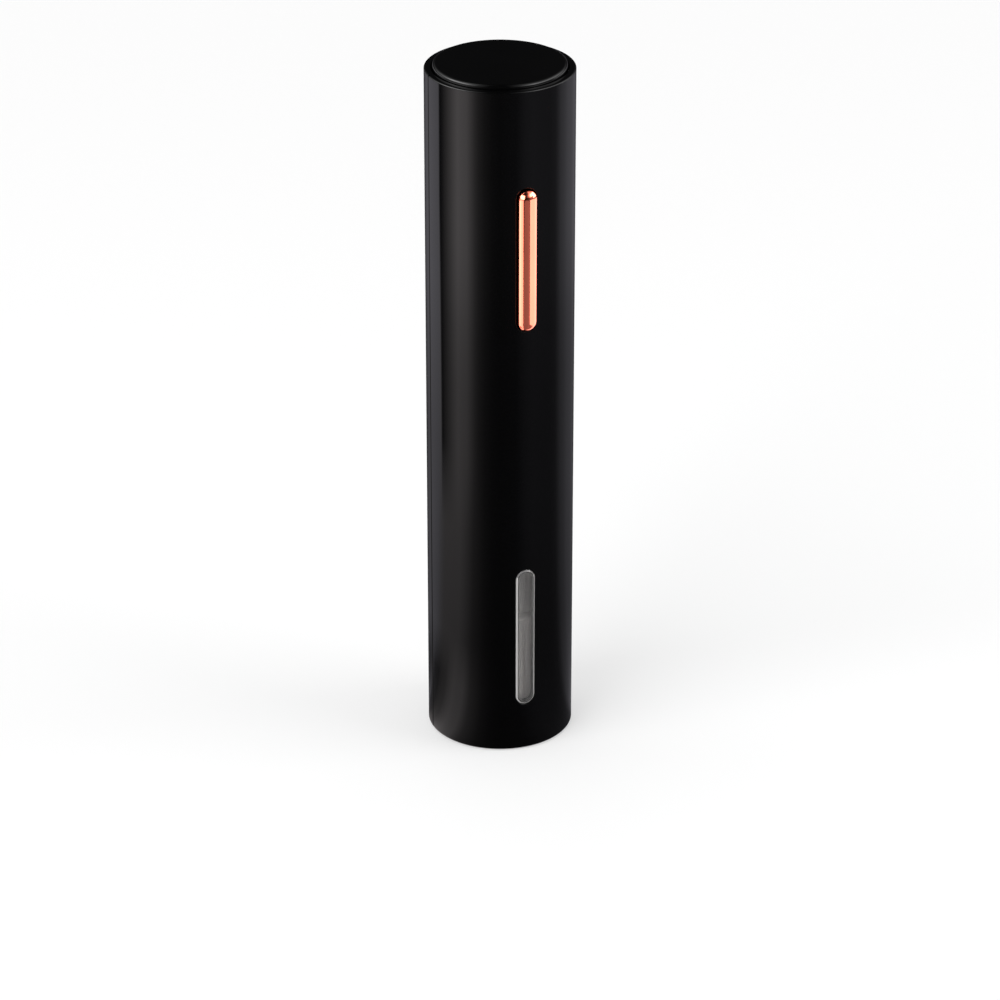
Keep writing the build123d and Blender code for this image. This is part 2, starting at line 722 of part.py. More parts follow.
shoe = turned([(core_radius - core_shoe, core_bottom), (core_radius, core_bottom), (core_radius, core_top),
               (core_radius - core_shoe, core_top)], 2 * core_shoe_half_angle)
armature_core = rod(core_hub_radius, core_bottom, core_top)
winding_list = []
coil_inner = core_hub_radius + seat_gap
coil_half = core_arm_width / 2 + winding_thickness
coil_outer = sqrt((core_radius - core_shoe - seat_gap) ** 2 - coil_half**2)
for turn in ear_angles:
    arm = block(0, core_radius - core_shoe / 2, -core_arm_width / 2, core_arm_width / 2, core_bottom, core_top)
    armature_core += Rot(0, 0, turn) * arm + Rot(0, 0, turn - core_shoe_half_angle) * shoe
    # The coil's flanks draw in towards the hub, where the neighbouring coils are near
    pinch = min(coil_half, coil_inner * tan(radians(180.0 / len(ear_angles))) - fit_gap)
    flank = make_face(Polyline((coil_inner, -pinch), (coil_outer, -coil_half), (coil_outer, coil_half),
                               (coil_inner, pinch), close=True))
    coil = Pos(0, 0, core_bottom - winding_overhang) * extrude(flank, amount=core_length + 2 * winding_overhang)
    coil -= block(0, core_radius, -core_arm_width / 2, core_arm_width / 2, core_bottom, core_top)
    winding_list.append(Rot(0, 0, turn) * coil)
armature_core -= rod(motor_shaft_radius, core_bottom, core_top)
armature_windings = Compound(children=winding_list)

commutator = tube(commutator_radius, motor_shaft_radius, commutator_bottom, commutator_top)
for turn in ear_angles:
    slit = block(commutator_radius - commutator_slit, commutator_radius + commutator_slit, -commutator_slit / 2,
                 commutator_slit / 2, commutator_bottom, commutator_top)
    commutator -= Rot(0, 0, turn + 180.0) * slit

# Motor leads run forward from the terminals, turn down and end on the back of the control board
lead_level = bell_top + terminal_rise - lead_radius - seat_gap
leads = []
for side in (-1, 1):
    x = side * terminal_place
    route = FilletPolyline((x, -terminal_width / 2, lead_level), (x, -board_back + lead_stand_off, lead_level),
                           (x, -board_back + lead_stand_off, lead_level - lead_drop),
                           (x, -board_back, lead_level - lead_drop), radius=lead_bend)
    leads.append(sweep(Plane(route @ 0, z_dir=route % 0) * Circle(lead_radius), path=route))
black_lead, red_lead = leads

# Battery tray: four open tubes on a floor, with a grooved rim that the shells trap
tube_places = [(x, y) for y in (cell_front, cell_rear) for x in (-cell_side, cell_side)]
battery_tray = rod(tray_radius, tray_bottom, tray_floor)
battery_tray &= block(-tray_radius, tray_radius, tray_front, tray_radius, tray_bottom, tray_floor)
for x, y in tube_places:
    battery_tray += rod(tube_radius, tray_bottom, tube_top, x, y)
for level in board_screw_levels:
    battery_tray += front_rod(boss_radius, -cell_front, board_back, 0, level)
groove_middle = cover_seat - tray_rim_height / 2
battery_tray += tube(tray_rim_radius, tray_rim_bore, tray_rim_bottom, cover_seat)
battery_tray -= tube(bore_radius, tray_rim_radius - tray_groove_depth, groove_middle - tray_groove_height / 2,
                     groove_middle + tray_groove_height / 2)
for x, y in tube_places:
    battery_tray -= rod(tube_bore, tray_floor, tube_top, x, y)
for level in board_screw_levels:
    battery_tray -= front_rod(board_screw_radius, board_back - board_screw_length, board_back, 0, level)
slot_half = contact_tab / 2 + contact_slot_gap
for x in (-cell_side, cell_side):
    battery_tray -= block(x - slot_half, x + slot_half, -board_back, cell_front, tray_floor,
                          contact_top + contact_slot_gap)
battery_tray -= block(-cell_side, cell_side, cell_rear - slot_half, cell_rear + slot_half, tray_floor,
                      contact_top + contact_slot_gap)

contacts = []
for x in (-cell_side, cell_side):
    plate = rod(contact_radius, tray_floor, contact_top, x, cell_front)
    plate += block(x - contact_tab / 2, x + contact_tab / 2, -board_back, cell_front, tray_floor, contact_top)
    contacts.append(plate)
bridge = block(-cell_side, cell_side, cell_rear - contact_tab / 2, cell_rear + contact_tab / 2, tray_floor,
               contact_top)
for x in (-cell_side, cell_side):
    bridge += rod(contact_radius, tray_floor, contact_top, x, cell_rear)
contacts.append(bridge)
tray_contacts = Compound(children=contacts)

cell_profile = [(0, 0), (cell_radius, 0), (cell_radius, cell_length - cell_nub_height),
                (cell_nub_radius, cell_length - cell_nub_height), (cell_nub_radius, cell_length),
                (0, cell_length)]
one_cell = turned(cell_profile)
one_cell = fillet(one_cell.edges().filter_by(lambda e: e.geom_type == GeomType.CIRCLE
                                             and e.radius > cell_nub_radius), cell_round)
upright_cells = ((-cell_side, cell_front), (cell_side, cell_rear))
turned_cells = ((-cell_side, cell_rear), (cell_side, cell_front))
cells = [Pos(x, y, raised_cell) * one_cell for x, y in upright_cells]
cells += [Pos(x, y, contact_top + cell_length) * Rot(180, 0, 0) * one_cell for x, y in turned_cells]
battery_cells = Compound(children=cells)

spring_travel = spring_height - 2 * spring_wire
one_spring = helix_rod(spring_wire, spring_radius, spring_travel / spring_turns, spring_wire, spring_travel)
tray_springs = Compound(children=[Pos(x, y, contact_top) * one_spring for x, y in upright_cells])
cover_springs = Compound(children=[Pos(x, y, cover_contact - spring_height) * one_spring
                                   for x, y in turned_cells])

# Battery cover: a cap with a rounded top edge, a plug that fits the tray's rim and two bars for the contacts
cap_outline = make_face(Polyline(
    (0, cover_ceiling), (0, cover_top), (cover_radius, cover_top), (cover_radius, cover_seat),
    (plug_radius, cover_seat), (plug_radius, plug_bottom), (plug_radius - plug_wall, plug_bottom),
    (plug_radius - plug_wall, cover_ceiling), close=True))
cap_corner = cap_outline.vertices().sort_by(lambda v: v.X + v.Y)[-1]
battery_cover = revolve(Plane.XZ * fillet(cap_corner, cover_round), Axis.Z, 360.0)
bar_bottom = cover_contact + contact_thickness
plates = []
for side in (-1, 1):
    x = side * cell_side
    battery_cover += block(x - contact_bar / 2, x + contact_bar / 2, cell_front - contact_radius,
                           cell_rear + contact_radius, bar_bottom, cover_ceiling)
    plate = block(x - contact_tab / 2, x + contact_tab / 2, cell_front, cell_rear, cover_contact, bar_bottom)
    for y in (cell_front, cell_rear):
        plate += rod(contact_radius, cover_contact, bar_bottom, x, y)
    plates.append(plate)
cover_contacts = Compound(children=plates)

pieces = {
    "front_shell": front_shell, "rear_shell": rear_shell, "window_lens": window_lens,
    "bottle_collar": bottle_collar, "cork_sleeve": cork_sleeve, "sleeve_screws": sleeve_screws,
    "rocker_button": rocker_button, "rocker_pin": rocker_pin, "upper_plunger": upper_plunger,
    "lower_plunger": lower_plunger, "switch_bodies": switch_bodies, "control_board": control_board,
    "board_screws": board_screws, "board_chips": board_chips, "worm": worm, "worm_hub": worm_hub,
    "hub_set_screw": hub_set_screw, "output_carrier": output_carrier, "second_pins": second_pins,
    "output_bush": output_bush, "thrust_washer": thrust_washer, "first_carrier": first_carrier,
    "first_pins": first_pins, "sun_pinion": sun_pinion, "gear_case": gear_case, "motor_plate": motor_plate,
    "plate_screws": plate_screws, "motor_screws": motor_screws, "motor_can": motor_can,
    "motor_end_bell": motor_end_bell, "motor_bushes": motor_bushes, "motor_magnets": motor_magnets,
    "motor_brushes": motor_brushes, "motor_terminals": motor_terminals, "motor_shaft": motor_shaft,
    "armature_core": armature_core, "armature_windings": armature_windings, "commutator": commutator,
    "red_lead": red_lead, "black_lead": black_lead, "battery_tray": battery_tray,
    "battery_cells": battery_cells, "tray_contacts": tray_contacts, "tray_springs": tray_springs,
    "battery_cover": battery_cover, "cover_contacts": cover_contacts, "cover_springs": cover_springs,
}
for index in range(planet_count):
    pieces[f"first_planet_{index + 1}"] = first_planets[index]
    pieces[f"second_planet_{index + 1}"] = second_planets[index]

os.makedirs("parts", exist_ok=True)
for name, piece in pieces.items():
    export_step(piece, f"parts/{name}.step")
print(f"{len(pieces)} pieces, barrel {2 * body_radius:.1f} across, {cover_top:.1f} high")
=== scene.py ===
import json
import math
import bmesh
import bpy
import numpy as np
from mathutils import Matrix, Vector


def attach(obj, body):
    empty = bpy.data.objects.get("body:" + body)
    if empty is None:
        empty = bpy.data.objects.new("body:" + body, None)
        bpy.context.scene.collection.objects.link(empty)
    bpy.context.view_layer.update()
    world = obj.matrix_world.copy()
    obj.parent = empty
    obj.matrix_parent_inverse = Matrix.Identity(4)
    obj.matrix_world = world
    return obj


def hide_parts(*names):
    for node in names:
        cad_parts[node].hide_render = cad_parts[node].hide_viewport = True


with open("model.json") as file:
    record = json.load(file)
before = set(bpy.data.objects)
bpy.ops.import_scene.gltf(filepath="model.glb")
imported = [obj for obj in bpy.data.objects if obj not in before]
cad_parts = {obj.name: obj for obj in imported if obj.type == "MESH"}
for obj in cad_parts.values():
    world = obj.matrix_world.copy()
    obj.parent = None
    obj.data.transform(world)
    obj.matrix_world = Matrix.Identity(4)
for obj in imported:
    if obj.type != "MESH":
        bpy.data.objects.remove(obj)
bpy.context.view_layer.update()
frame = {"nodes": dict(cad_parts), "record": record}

mm = 0.001  # every size below is in millimetres, and meshes are in metres
weld, sliver = 2e-6, 1e-7  # metres: points closer than the first are merged, edges under the second go


# meshes from grids of points
def quadRows(rows, cols, closeRows, closeCols, offset, skip=None):
    # quads between neighbouring grid points, row after row; closed directions wrap round
    r = np.arange(rows if closeRows else rows - 1)
    c = np.arange(cols if closeCols else cols - 1)
    rr, cc = np.meshgrid(r, c, indexing="ij")
    keep = np.ones(rr.shape, bool) if skip is None else ~skip[: len(r), : len(c)]
    rr, cc = rr[keep], cc[keep]
    rn, cn = (rr + 1) % rows, (cc + 1) % cols
    return np.stack([rr * cols + cc, rr * cols + cn, rn * cols + cn, rn * cols + cc], 1) + offset


def makePiece(name, sheets, material, body, nodes, sharp=32.0, caps=()):
    # sheets are (grid of points in mm, closeRows, closeCols, skip mask or None); doubles are merged after;
    # material lists one finish for each sheet in turn, the last of them for the rest
    points, faces, start, marks = [], [], 0, []
    wanted = [material[min(number, len(material) - 1)] for number in range(len(sheets))]
    kinds = list(dict.fromkeys(wanted))
    for number, (grid, closeRows, closeCols, skip) in enumerate(sheets):
        rows, cols = grid.shape[:2]
        quads = quadRows(rows, cols, closeRows, closeCols, start, skip)
        points.append(grid.reshape(-1, 3) * mm)
        faces += quads.tolist()
        marks += [kinds.index(wanted[number])] * len(quads)
        start += rows * cols
    faces += [list(loop) for loop in caps]
    marks += [0] * len(caps)
    mesh = bpy.data.meshes.new(name)
    mesh.from_pydata(np.concatenate(points).tolist(), [], faces)
    mesh.polygons.foreach_set("material_index", np.array(marks, np.int32))
    bm = bmesh.new()
    bm.from_mesh(mesh)
    bmesh.ops.remove_doubles(bm, verts=bm.verts, dist=weld)
    bmesh.ops.dissolve_degenerate(bm, edges=bm.edges, dist=sliver)
    bmesh.ops.recalc_face_normals(bm, faces=bm.faces)
    loose = sum(1 for edge in bm.edges if len(edge.link_faces) != 2)
    bm.to_mesh(mesh)
    bm.free()
    mesh.polygons.foreach_set("use_smooth", np.ones(len(mesh.polygons), bool))
    mesh.set_sharp_from_angle(angle=math.radians(sharp))
    piece = bpy.data.objects.new(name, mesh)
    bpy.context.scene.collection.objects.link(piece)
    for each in kinds:
        mesh.materials.append(each)
    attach(piece, body)
    if nodes:
        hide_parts(*nodes)
    print(name, len(mesh.polygons), "faces, open edges", loose)
    return piece


def arcPoints(r, z, radius, fromDeg, toDeg, steps):
    # points on a circle round (r, z), angle measured from +r towards +z
    t = np.radians(np.linspace(fromDeg, toDeg, steps))
    return np.stack([r + radius * np.cos(t), z + radius * np.sin(t)], 1)


def turnedGrid(profile, count=180, x=0.0, y=0.0):
    # a closed (r, z) profile carried round the Z axis: x = r cos t, y = r sin t
    t = np.arange(count) * 2 * np.pi / count
    r, z = np.asarray(profile, float).T
    return np.stack([x + r[:, None] * np.cos(t), y + r[:, None] * np.sin(t),
                     np.broadcast_to(z[:, None], (len(r), count))], 2)


def boxGrid(x0, x1, y0, y1, z0, z1, edge=0.3, power=12, around=48):
    # a superellipse of the given power in plan, carried up four levels and drawn in by the edge at both ends
    t = np.linspace(0, 2 * np.pi, around, endpoint=False)
    halfX, halfY = (x1 - x0) / 2, (y1 - y0) / 2
    cx, cy = np.cos(t), np.sin(t)
    reach = 1 / (np.abs(cx) ** power + np.abs(cy) ** power) ** (1 / power)
    levels = [(0.0, z0), (1 - edge / min(halfX, halfY), z0), (1.0, z0 + edge), (1.0, z1 - edge),
              (1 - edge / min(halfX, halfY), z1), (0.0, z1)]
    grid = [np.stack([(x0 + x1) / 2 + halfX * s * cx * reach, (y0 + y1) / 2 + halfY * s * cy * reach,
                      np.full_like(cx, z)], 1) for s, z in levels]
    return np.array(grid)


# materials
def linearColour(code):
    parts = np.array([int(code[i:i + 2], 16) / 255 for i in (1, 3, 5)])
    parts = np.where(parts <= 0.04045, parts / 12.92, ((parts + 0.055) / 1.055) ** 2.4)
    return (*parts.tolist(), 1.0)


def addNode(tree, kind, values={}, links={}, **settings):
    # a shader node with its socket values, its links and its own settings; a node that is given as a link
    # stands for its first output
    node = tree.nodes.new("ShaderNode" + kind)
    for key, value in settings.items():
        setattr(node, key, value)
    for key, value in values.items():
        node.inputs[key].default_value = value
    for key, source in links.items():
        tree.links.new(getattr(source, "outputs", [source])[0], node.inputs[key])
    return node


def spanValues(source, target=(0.0, 1.0)):
    # socket values that carry one span of numbers to another
    return {"From Min": source[0], "From Max": source[1], "To Min": target[0], "To Max": target[1]}


def newMaterial(name, **values):
    material = bpy.data.materials.new(name)
    material.use_nodes = True
    tree = material.node_tree
    shader = tree.nodes["Principled BSDF"]
    for key, value in values.items():
        shader.inputs[key.replace("_", " ")].default_value = value
    place = addNode(tree, "TexCoord").outputs["Object"]
    return material, tree, shader, place


def dressShader(tree, shader, finish, relief, tone=None, gloss=None):
    # relief from one pattern and, where these are given, colour between two tones and roughness from others
    if tone is not None:
        ramp = addNode(tree, "ValToRGB", links={"Fac": tone})
        spots = finish.get("toneSpan", (0.0, 1.0))
        for stop, spot, key in zip(ramp.color_ramp.elements, spots, ("dark", "light")):
            stop.position = spot
            stop.color = linearColour(finish[key])
        tree.links.new(ramp.outputs["Color"], shader.inputs["Base Color"])
    if gloss is not None:
        span = spanValues(finish.get("glossSpan", (0.0, 1.0)), finish["rough"])
        rough = addNode(tree, "MapRange", span, {"Value": gloss})
        tree.links.new(rough.outputs["Result"], shader.inputs["Roughness"])
    bump = addNode(tree, "Bump", {"Strength": finish.get("relief", 0.3),
                   "Distance": finish.get("depthMm", 0.02) * mm}, {"Height": relief})
    tree.links.new(bump.outputs["Normal"], shader.inputs["Normal"])


def grainedMaterial(name, finish):
    # colour drifts between two tones, roughness varies with the same cloud, and a finer grain gives relief
    material, tree, shader, place = newMaterial(name, Metallic=finish.get("metallic", 0.0))
    cloud = addNode(tree, "TexNoise", {"Scale": 1000 / finish["cloudMm"], "Detail": 3.0}, {"Vector": place})
    if "linesMm" in finish:
        # ridges across one axis, as left by a lathe, a winding or stacked sheets, drawn at twice their real
        # spacing so that they show; a wave is a tenth of pi long at a scale of 1
        relief = addNode(tree, "TexWave", {"Scale": 0.1 * math.pi / (2 * finish["linesMm"] * mm),
                         "Distortion": finish.get("wander", 0.4)}, {"Vector": place},
                         bands_direction=finish.get("across", "Z"))
    else:
        relief = addNode(tree, "TexNoise", {"Scale": 1000 / finish["grainMm"], "Detail": 2.0},
                         {"Vector": place})
    dressShader(tree, shader, {"toneSpan": (0.3, 0.7), **finish}, relief.outputs["Fac"], cloud, cloud)
    return material


# polished ABS, injection moulded: deep black, mirror-like, with a very slight ripple and faint handling haze
def polishedAbs():
    finish = {"dark": "#040404", "light": "#060607", "hazeMm": 14.0, "scuffMm": 0.35, "scuffShare": 0.35,
              "rippleMm": 9.0, "glossSpan": (0.3, 1.0), "rough": (0.03, 0.075), "relief": 0.05,
              "depthMm": 0.05}
    # the gloss is held below that of bare plastic, as the photograph shows very deep blacks
    material, tree, shader, place = newMaterial("polishedBlackAbs", IOR=1.54, Specular_IOR_Level=0.25)
    haze, scuff, ripple = (addNode(tree, "TexNoise", {"Scale": 1000 / finish[size], "Detail": detail},
                                   {"Vector": place})
                           for size, detail in (("hazeMm", 4.0), ("scuffMm", 1.0), ("rippleMm", 1.0)))
    blend = addNode(tree, "Math", {1: finish["scuffShare"]}, {0: scuff, 2: haze}, operation="MULTIPLY_ADD")
    dressShader(tree, shader, finish, ripple, haze, blend)
    return material


# rose-copper electroplate on ABS: a bright pinkish mirror, slightly soft, with a faint satin drift
def copperPlate():
    finish = {"dark": "#f67b63", "light": "#f8876b", "driftMm": 11.0, "fineMm": 0.4, "rough": (0.09, 0.13),
              "relief": 0.04, "depthMm": 0.02}
    material, tree, shader, place = newMaterial("copperElectroplate", Metallic=1.0)
    drift, fine = (addNode(tree, "TexNoise", {"Scale": 1000 / finish[size], "Detail": 2.0},
                           {"Vector": place}) for size in ("driftMm", "fineMm"))
    dressShader(tree, shader, finish, drift, drift, fine)
    return material


# clear acrylic, moulded and polished: it bends what lies behind it and has a trace of haze in upright
# streaks; pale, less clear versions of it are painted highlights, a dark-tinted one a painted shade line
def clearAcrylic(name, clear, haze, tint="#e8e6e5", streak=0.0):
    finish = {"flowMm": 5.0, "flowStretch": 0.12, "drawMm": 1.1, "drawStretch": 0.03,
              "rough": (haze, haze + 0.07), "relief": 0.12, "depthMm": 0.1}
    material, tree, shader, place = newMaterial(name, IOR=1.49, Transmission_Weight=clear)
    shader.inputs["Base Color"].default_value = linearColour(tint)
    if streak:
        upright = addNode(tree, "Mapping", {"Scale": (1.0, 1.0, finish["drawStretch"])}, {"Vector": place})
        draw = addNode(tree, "TexNoise", {"Scale": 1000 / finish["drawMm"], "Detail": 2.0},
                       {"Vector": upright})
        cloudy = addNode(tree, "MapRange", spanValues((0.3, 0.7), (clear - streak, clear + streak)),
                         {"Value": draw})
        tree.links.new(cloudy.outputs["Result"], shader.inputs["Transmission Weight"])
    stretch = addNode(tree, "Mapping", {"Scale": (1.0, 1.0, finish["flowStretch"])}, {"Vector": place})
    flow = addNode(tree, "TexNoise", {"Scale": 1000 / finish["flowMm"], "Detail": 2.0}, {"Vector": stretch})
    dressShader(tree, shader, finish, flow, gloss=flow)
    return material


# pale translucent polypropylene, moulded: milky grey with soft upright draw marks
def milkyPolypropylene():
    finish = {"dark": "#c6c4c2", "light": "#e8e6e4", "toneSpan": (0.3, 0.7), "drawMm": 2.2,
              "drawStretch": 0.06, "relief": 0.25, "depthMm": 0.1}
    material, tree, shader, place = newMaterial("milkyPolypropylene", IOR=1.49, Roughness=0.34)
    stretch = addNode(tree, "Mapping", {"Scale": (1.0, 1.0, finish["drawStretch"])}, {"Vector": place})
    draw = addNode(tree, "TexNoise", {"Scale": 1000 / finish["drawMm"], "Detail": 3.0}, {"Vector": stretch})
    dressShader(tree, shader, finish, draw, draw)
    return material


glossBlack, copper, milky = polishedAbs(), copperPlate(), milkyPolypropylene()
acrylic = clearAcrylic("clearAcrylic", 0.9, 0.02, streak=0.06)
acrylicInside = clearAcrylic("clearAcrylicInside", 0.99, 0.02)
# pale, less clear copies are painted highlights on the face and bevel; the dark-tinted one is painted shade
acrylicPaintedHighlightLine = clearAcrylic("clearAcrylicPaintedHighlightLine", 0.8, 0.1)
acrylicPaintedShadeLine = clearAcrylic("clearAcrylicPaintedShadeLine", 0.95, 0.1, "#504e4e")
acrylicPaintedHighlightEdge = clearAcrylic("clearAcrylicPaintedHighlightEdge", 0.08, 0.2)
acrylicPaintedHighlightEnd = clearAcrylic("clearAcrylicPaintedHighlightEnd", 0.7, 0.2)

# finishes of the inner parts, each named for what it is and how it was made
finishes = {
    # spark-eroded ABS: dull black with a fine leathery grain
    "black_matt_abs": ("grainedBlackAbs", dict(dark="#101011", light="#191919", rough=(0.5, 0.68),
        cloudMm=6.0, grainMm=0.25, depthMm=0.03, relief=0.5)),
    # ground and polished steel: bright, cool, with faint drawing marks
    "polished_steel": ("polishedSteel", dict(dark="#b4b6b8", light="#cfd0d1", rough=(0.12, 0.22),
        metallic=1.0, cloudMm=4.0, linesMm=0.5, depthMm=0.004, relief=0.2)),
    # turned carbon steel: grey with close lathe rings
    "machine_steel": ("turnedSteel", dict(dark="#8d8f92", light="#a9abad", rough=(0.25, 0.4), metallic=1.0,
        cloudMm=3.0, linesMm=0.4, depthMm=0.006, relief=0.3)),
    # die-cast zinc alloy: pale grey, slightly mottled
    "cast_hub": ("dieCastZinc", dict(dark="#8a8b8d", light="#a0a2a4", rough=(0.35, 0.5), metallic=1.0,
        cloudMm=2.5, grainMm=0.3, depthMm=0.02)),
    # natural acetal: ivory, waxy
    "acetal_gear": ("naturalAcetal", dict(dark="#ded9c8", light="#ebe7d9", rough=(0.3, 0.42), cloudMm=4.0,
        grainMm=0.3, depthMm=0.01)),
    # glass-filled nylon: dark grey with pale fibre flecks
    "grey_nylon": ("glassFilledNylon", dict(dark="#26272a", light="#3d3f42", rough=(0.45, 0.6), cloudMm=0.9,
        grainMm=0.3, depthMm=0.02)),
    # turned brass: yellow metal with lathe rings
    "brass": ("turnedBrass", dict(dark="#b98f45", light="#d3ab5c", rough=(0.2, 0.32), metallic=1.0,
        cloudMm=3.0, linesMm=0.4, depthMm=0.005)),
    # sintered bronze: brown, porous, oily
    "bronze_bush": ("sinteredBronze", dict(dark="#7a5a33", light="#97733f", rough=(0.35, 0.55),
        metallic=1.0, cloudMm=0.6, grainMm=0.15, depthMm=0.02)),
    # zinc-plated pressed steel: bluish grey with a drifting sheen
    "zinc_can": ("zincPlatedSteel", dict(dark="#9da1a5", light="#b8bbbf", rough=(0.22, 0.36), metallic=1.0,
        cloudMm=7.0, grainMm=0.5, depthMm=0.006)),
    # natural nylon: off-white, faintly translucent
    "bell_plastic": ("naturalNylon", dict(dark="#d6d2c6", light="#e4e1d6", rough=(0.35, 0.5), cloudMm=5.0,
        grainMm=0.3, depthMm=0.015)),
    # pressed ferrite: charcoal grey, ceramic, dusty
    "ferrite": ("pressedFerrite", dict(dark="#2c2d2f", light="#3c3d40", rough=(0.6, 0.8), cloudMm=1.5,
        grainMm=0.2, depthMm=0.03)),
    # stacked electrical sheet: dark steel ruled across at the sheet thickness of half a millimetre
    "lamination_steel": ("stackedSheetSteel", dict(dark="#5d5f62", light="#7b7d80", rough=(0.35, 0.5),
        metallic=1.0, cloudMm=3.0, linesMm=0.5, wander=0.0, depthMm=0.06, relief=0.8)),
    # enamelled copper wire: reddish brown, glossy, in close turns about 0.45 mm apart
    "enamelled_copper": ("enamelledCopperWire", dict(dark="#8c3f1c", light="#b55a2a", rough=(0.18, 0.3),
        metallic=0.8, cloudMm=2.0, linesMm=0.45, wander=0.6, depthMm=0.1, relief=0.8)),
    # pressed carbon: flat black, powdery
    "carbon": ("pressedCarbon", dict(dark="#171717", light="#242424", rough=(0.6, 0.75), cloudMm=0.5,
        grainMm=0.15, depthMm=0.02)),
    # glass-epoxy laminate under green resist: the weave shows as a faint 0.6 mm ripple
    "green_laminate": ("greenLaminate", dict(dark="#0f4a2b", light="#15603a", rough=(0.25, 0.35),
        cloudMm=4.0, linesMm=0.6, across="X", wander=0.2, depthMm=0.01)),
    # moulded nylon, black: even and slightly soft
    "switch_plastic": ("blackNylon", dict(dark="#181819", light="#232325", rough=(0.4, 0.55), cloudMm=2.0,
        grainMm=0.2, depthMm=0.01)),
    # pale acetal of the small plungers
    "plunger_plastic": ("paleAcetal", dict(dark="#d2cdbd", light="#dfdbcd", rough=(0.3, 0.4), cloudMm=1.5,
        grainMm=0.2, depthMm=0.01)),
    # extruded vinyl: smooth and a little waxy
    "red_insulation": ("redVinyl", dict(dark="#9d1717", light="#b82020", rough=(0.3, 0.42), cloudMm=2.0,
        grainMm=0.3, depthMm=0.01)),
    "black_insulation": ("blackVinyl", dict(dark="#161616", light="#222222", rough=(0.3, 0.42), cloudMm=2.0,
        grainMm=0.3, depthMm=0.01)),
    # nickel-plated strip: warm bright grey
    "nickel_strip": ("nickelPlate", dict(dark="#b5b0a4", light="#cac5b9", rough=(0.16, 0.28), metallic=1.0,
        cloudMm=3.0, grainMm=0.3, depthMm=0.005)),
    # flat black on the lens's sides and the border of its back, seen as a dark band beside the window's face
    "mask_ink": ("flatBlackLensEdges", dict(dark="#0b0b0b", light="#121212", rough=(0.5, 0.65), cloudMm=2.0,
        grainMm=0.1, depthMm=0.004)),
    # printed shrink film over the cells: plain slate, smooth
    "cell_sleeve": ("slateShrinkFilm", dict(dark="#23303b", light="#2c3b47", rough=(0.2, 0.3), cloudMm=6.0,
        grainMm=0.6, depthMm=0.01)),
}
materialOf = {key: grainedMaterial(*finish) for key, finish in finishes.items()}
materialOf.update(black_gloss_abs=glossBlack, copper_plate=copper, clear_acrylic=acrylic,
                  frosted_sleeve=milky)
for part in frame["record"]["subparts"]:
    node = frame["nodes"][part["node"]]
    for place in range(len(node.data.materials)):
        node.material_slots[place].material = materialOf[part["material_slot"]]
print("materials:", len(materialOf))

# the barrel, in two halves that meet at a seam on each side
barrel = {"radius": 24.0, "bore": 21.9, "height": 232.0, "rimRound": 0.45, "footRound": 0.9, "seamGap": 0.3,
          "seamDepth": 0.7, "seamLip": 0.12, "slotRound": 0.22, "stepDeg": 2.0, "wallHold": 0.15,
          "flatHold": 0.12}
rockerSlot = {"middle": 175.4, "length": 48.7, "width": 6.9}
windowSlot = {"middle": 41.4, "length": 49.66, "width": 6.76}
patch = {"halfDeg": 24.0, "margin": 5.0, "steps": 44}


def slotSpan(slot):
    half = slot["length"] / 2 + patch["margin"]
    return slot["middle"] - half, slot["middle"] + half


def wallLevels():
    # heights of the wall's rows: even inside each slot's patch, wider apart between, close at the ends
    low, high = barrel["footRound"], barrel["height"] - barrel["rimRound"]
    hold = barrel["wallHold"]
    stops = [low + hold, *slotSpan(windowSlot), *slotSpan(rockerSlot), high - hold]
    counts = [4, patch["steps"], 24, patch["steps"], 10]
    spans = [np.linspace(a, b, n + 1)[:-1] for a, b, n in zip(stops[:-1], stops[1:], counts)]
    return np.concatenate([[low], *spans, [stops[-1], high]])


def wallProfile():
    # closed (r, z) loop: foot, rounded outer corner, wall, rounded rim, then the bore back down
    big, bore, top = barrel["radius"], barrel["bore"], barrel["height"]
    foot, rim, hold = barrel["footRound"], barrel["rimRound"], barrel["flatHold"]
    levels = wallLevels()
    outer = np.stack([np.full(len(levels), big), levels], 1)
    inner = np.stack([np.full(len(levels), bore), levels[::-1]], 1)
    flatFoot = np.array([[bore, 0.0], [big - foot - hold, 0.0]])
    flatRim = np.array([[big - rim - hold, top], [bore, top]])
    return np.concatenate([flatFoot, arcPoints(big - foot, foot, foot, -90, 0, 8)[:-1], outer,
                           arcPoints(big - rim, top - rim, rim, 0, 90, 7)[1:], flatRim, inner])


def barrelAngles():
    # angles from the front, with two at each lip of the seam's gap
    gap, lip = (math.degrees(barrel[key] / barrel["radius"]) for key in ("seamGap", "seamLip"))
    side = np.array([90.0, 90.0 - gap, 90.0 - gap, 90.0 - gap - lip])
    last = 90.0 - barrel["stepDeg"]
    return np.concatenate([-side, np.arange(-last, last + 0.1, barrel["stepDeg"]), side[::-1]])


def barrelHalf(turn):
    # the wall profile carried through half a turn: x = r sin a, y = -r cos a; the wall is cut back beside the
    # seam, so that the two halves meet at the bottom of a narrow gap
    profile, angles = wallProfile(), barrelAngles() + turn
    limit = np.full(len(angles), barrel["radius"])
    limit[[0, 1, -2, -1]] -= barrel["seamDepth"]
    limit[[2, -3]] -= barrel["seamLip"]
    r = np.minimum(profile[:, :1], limit)
    a = np.radians(angles)
    return np.stack([r * np.sin(a), -r * np.cos(a), np.repeat(profile[:, 1:], len(angles), 1)], 2)


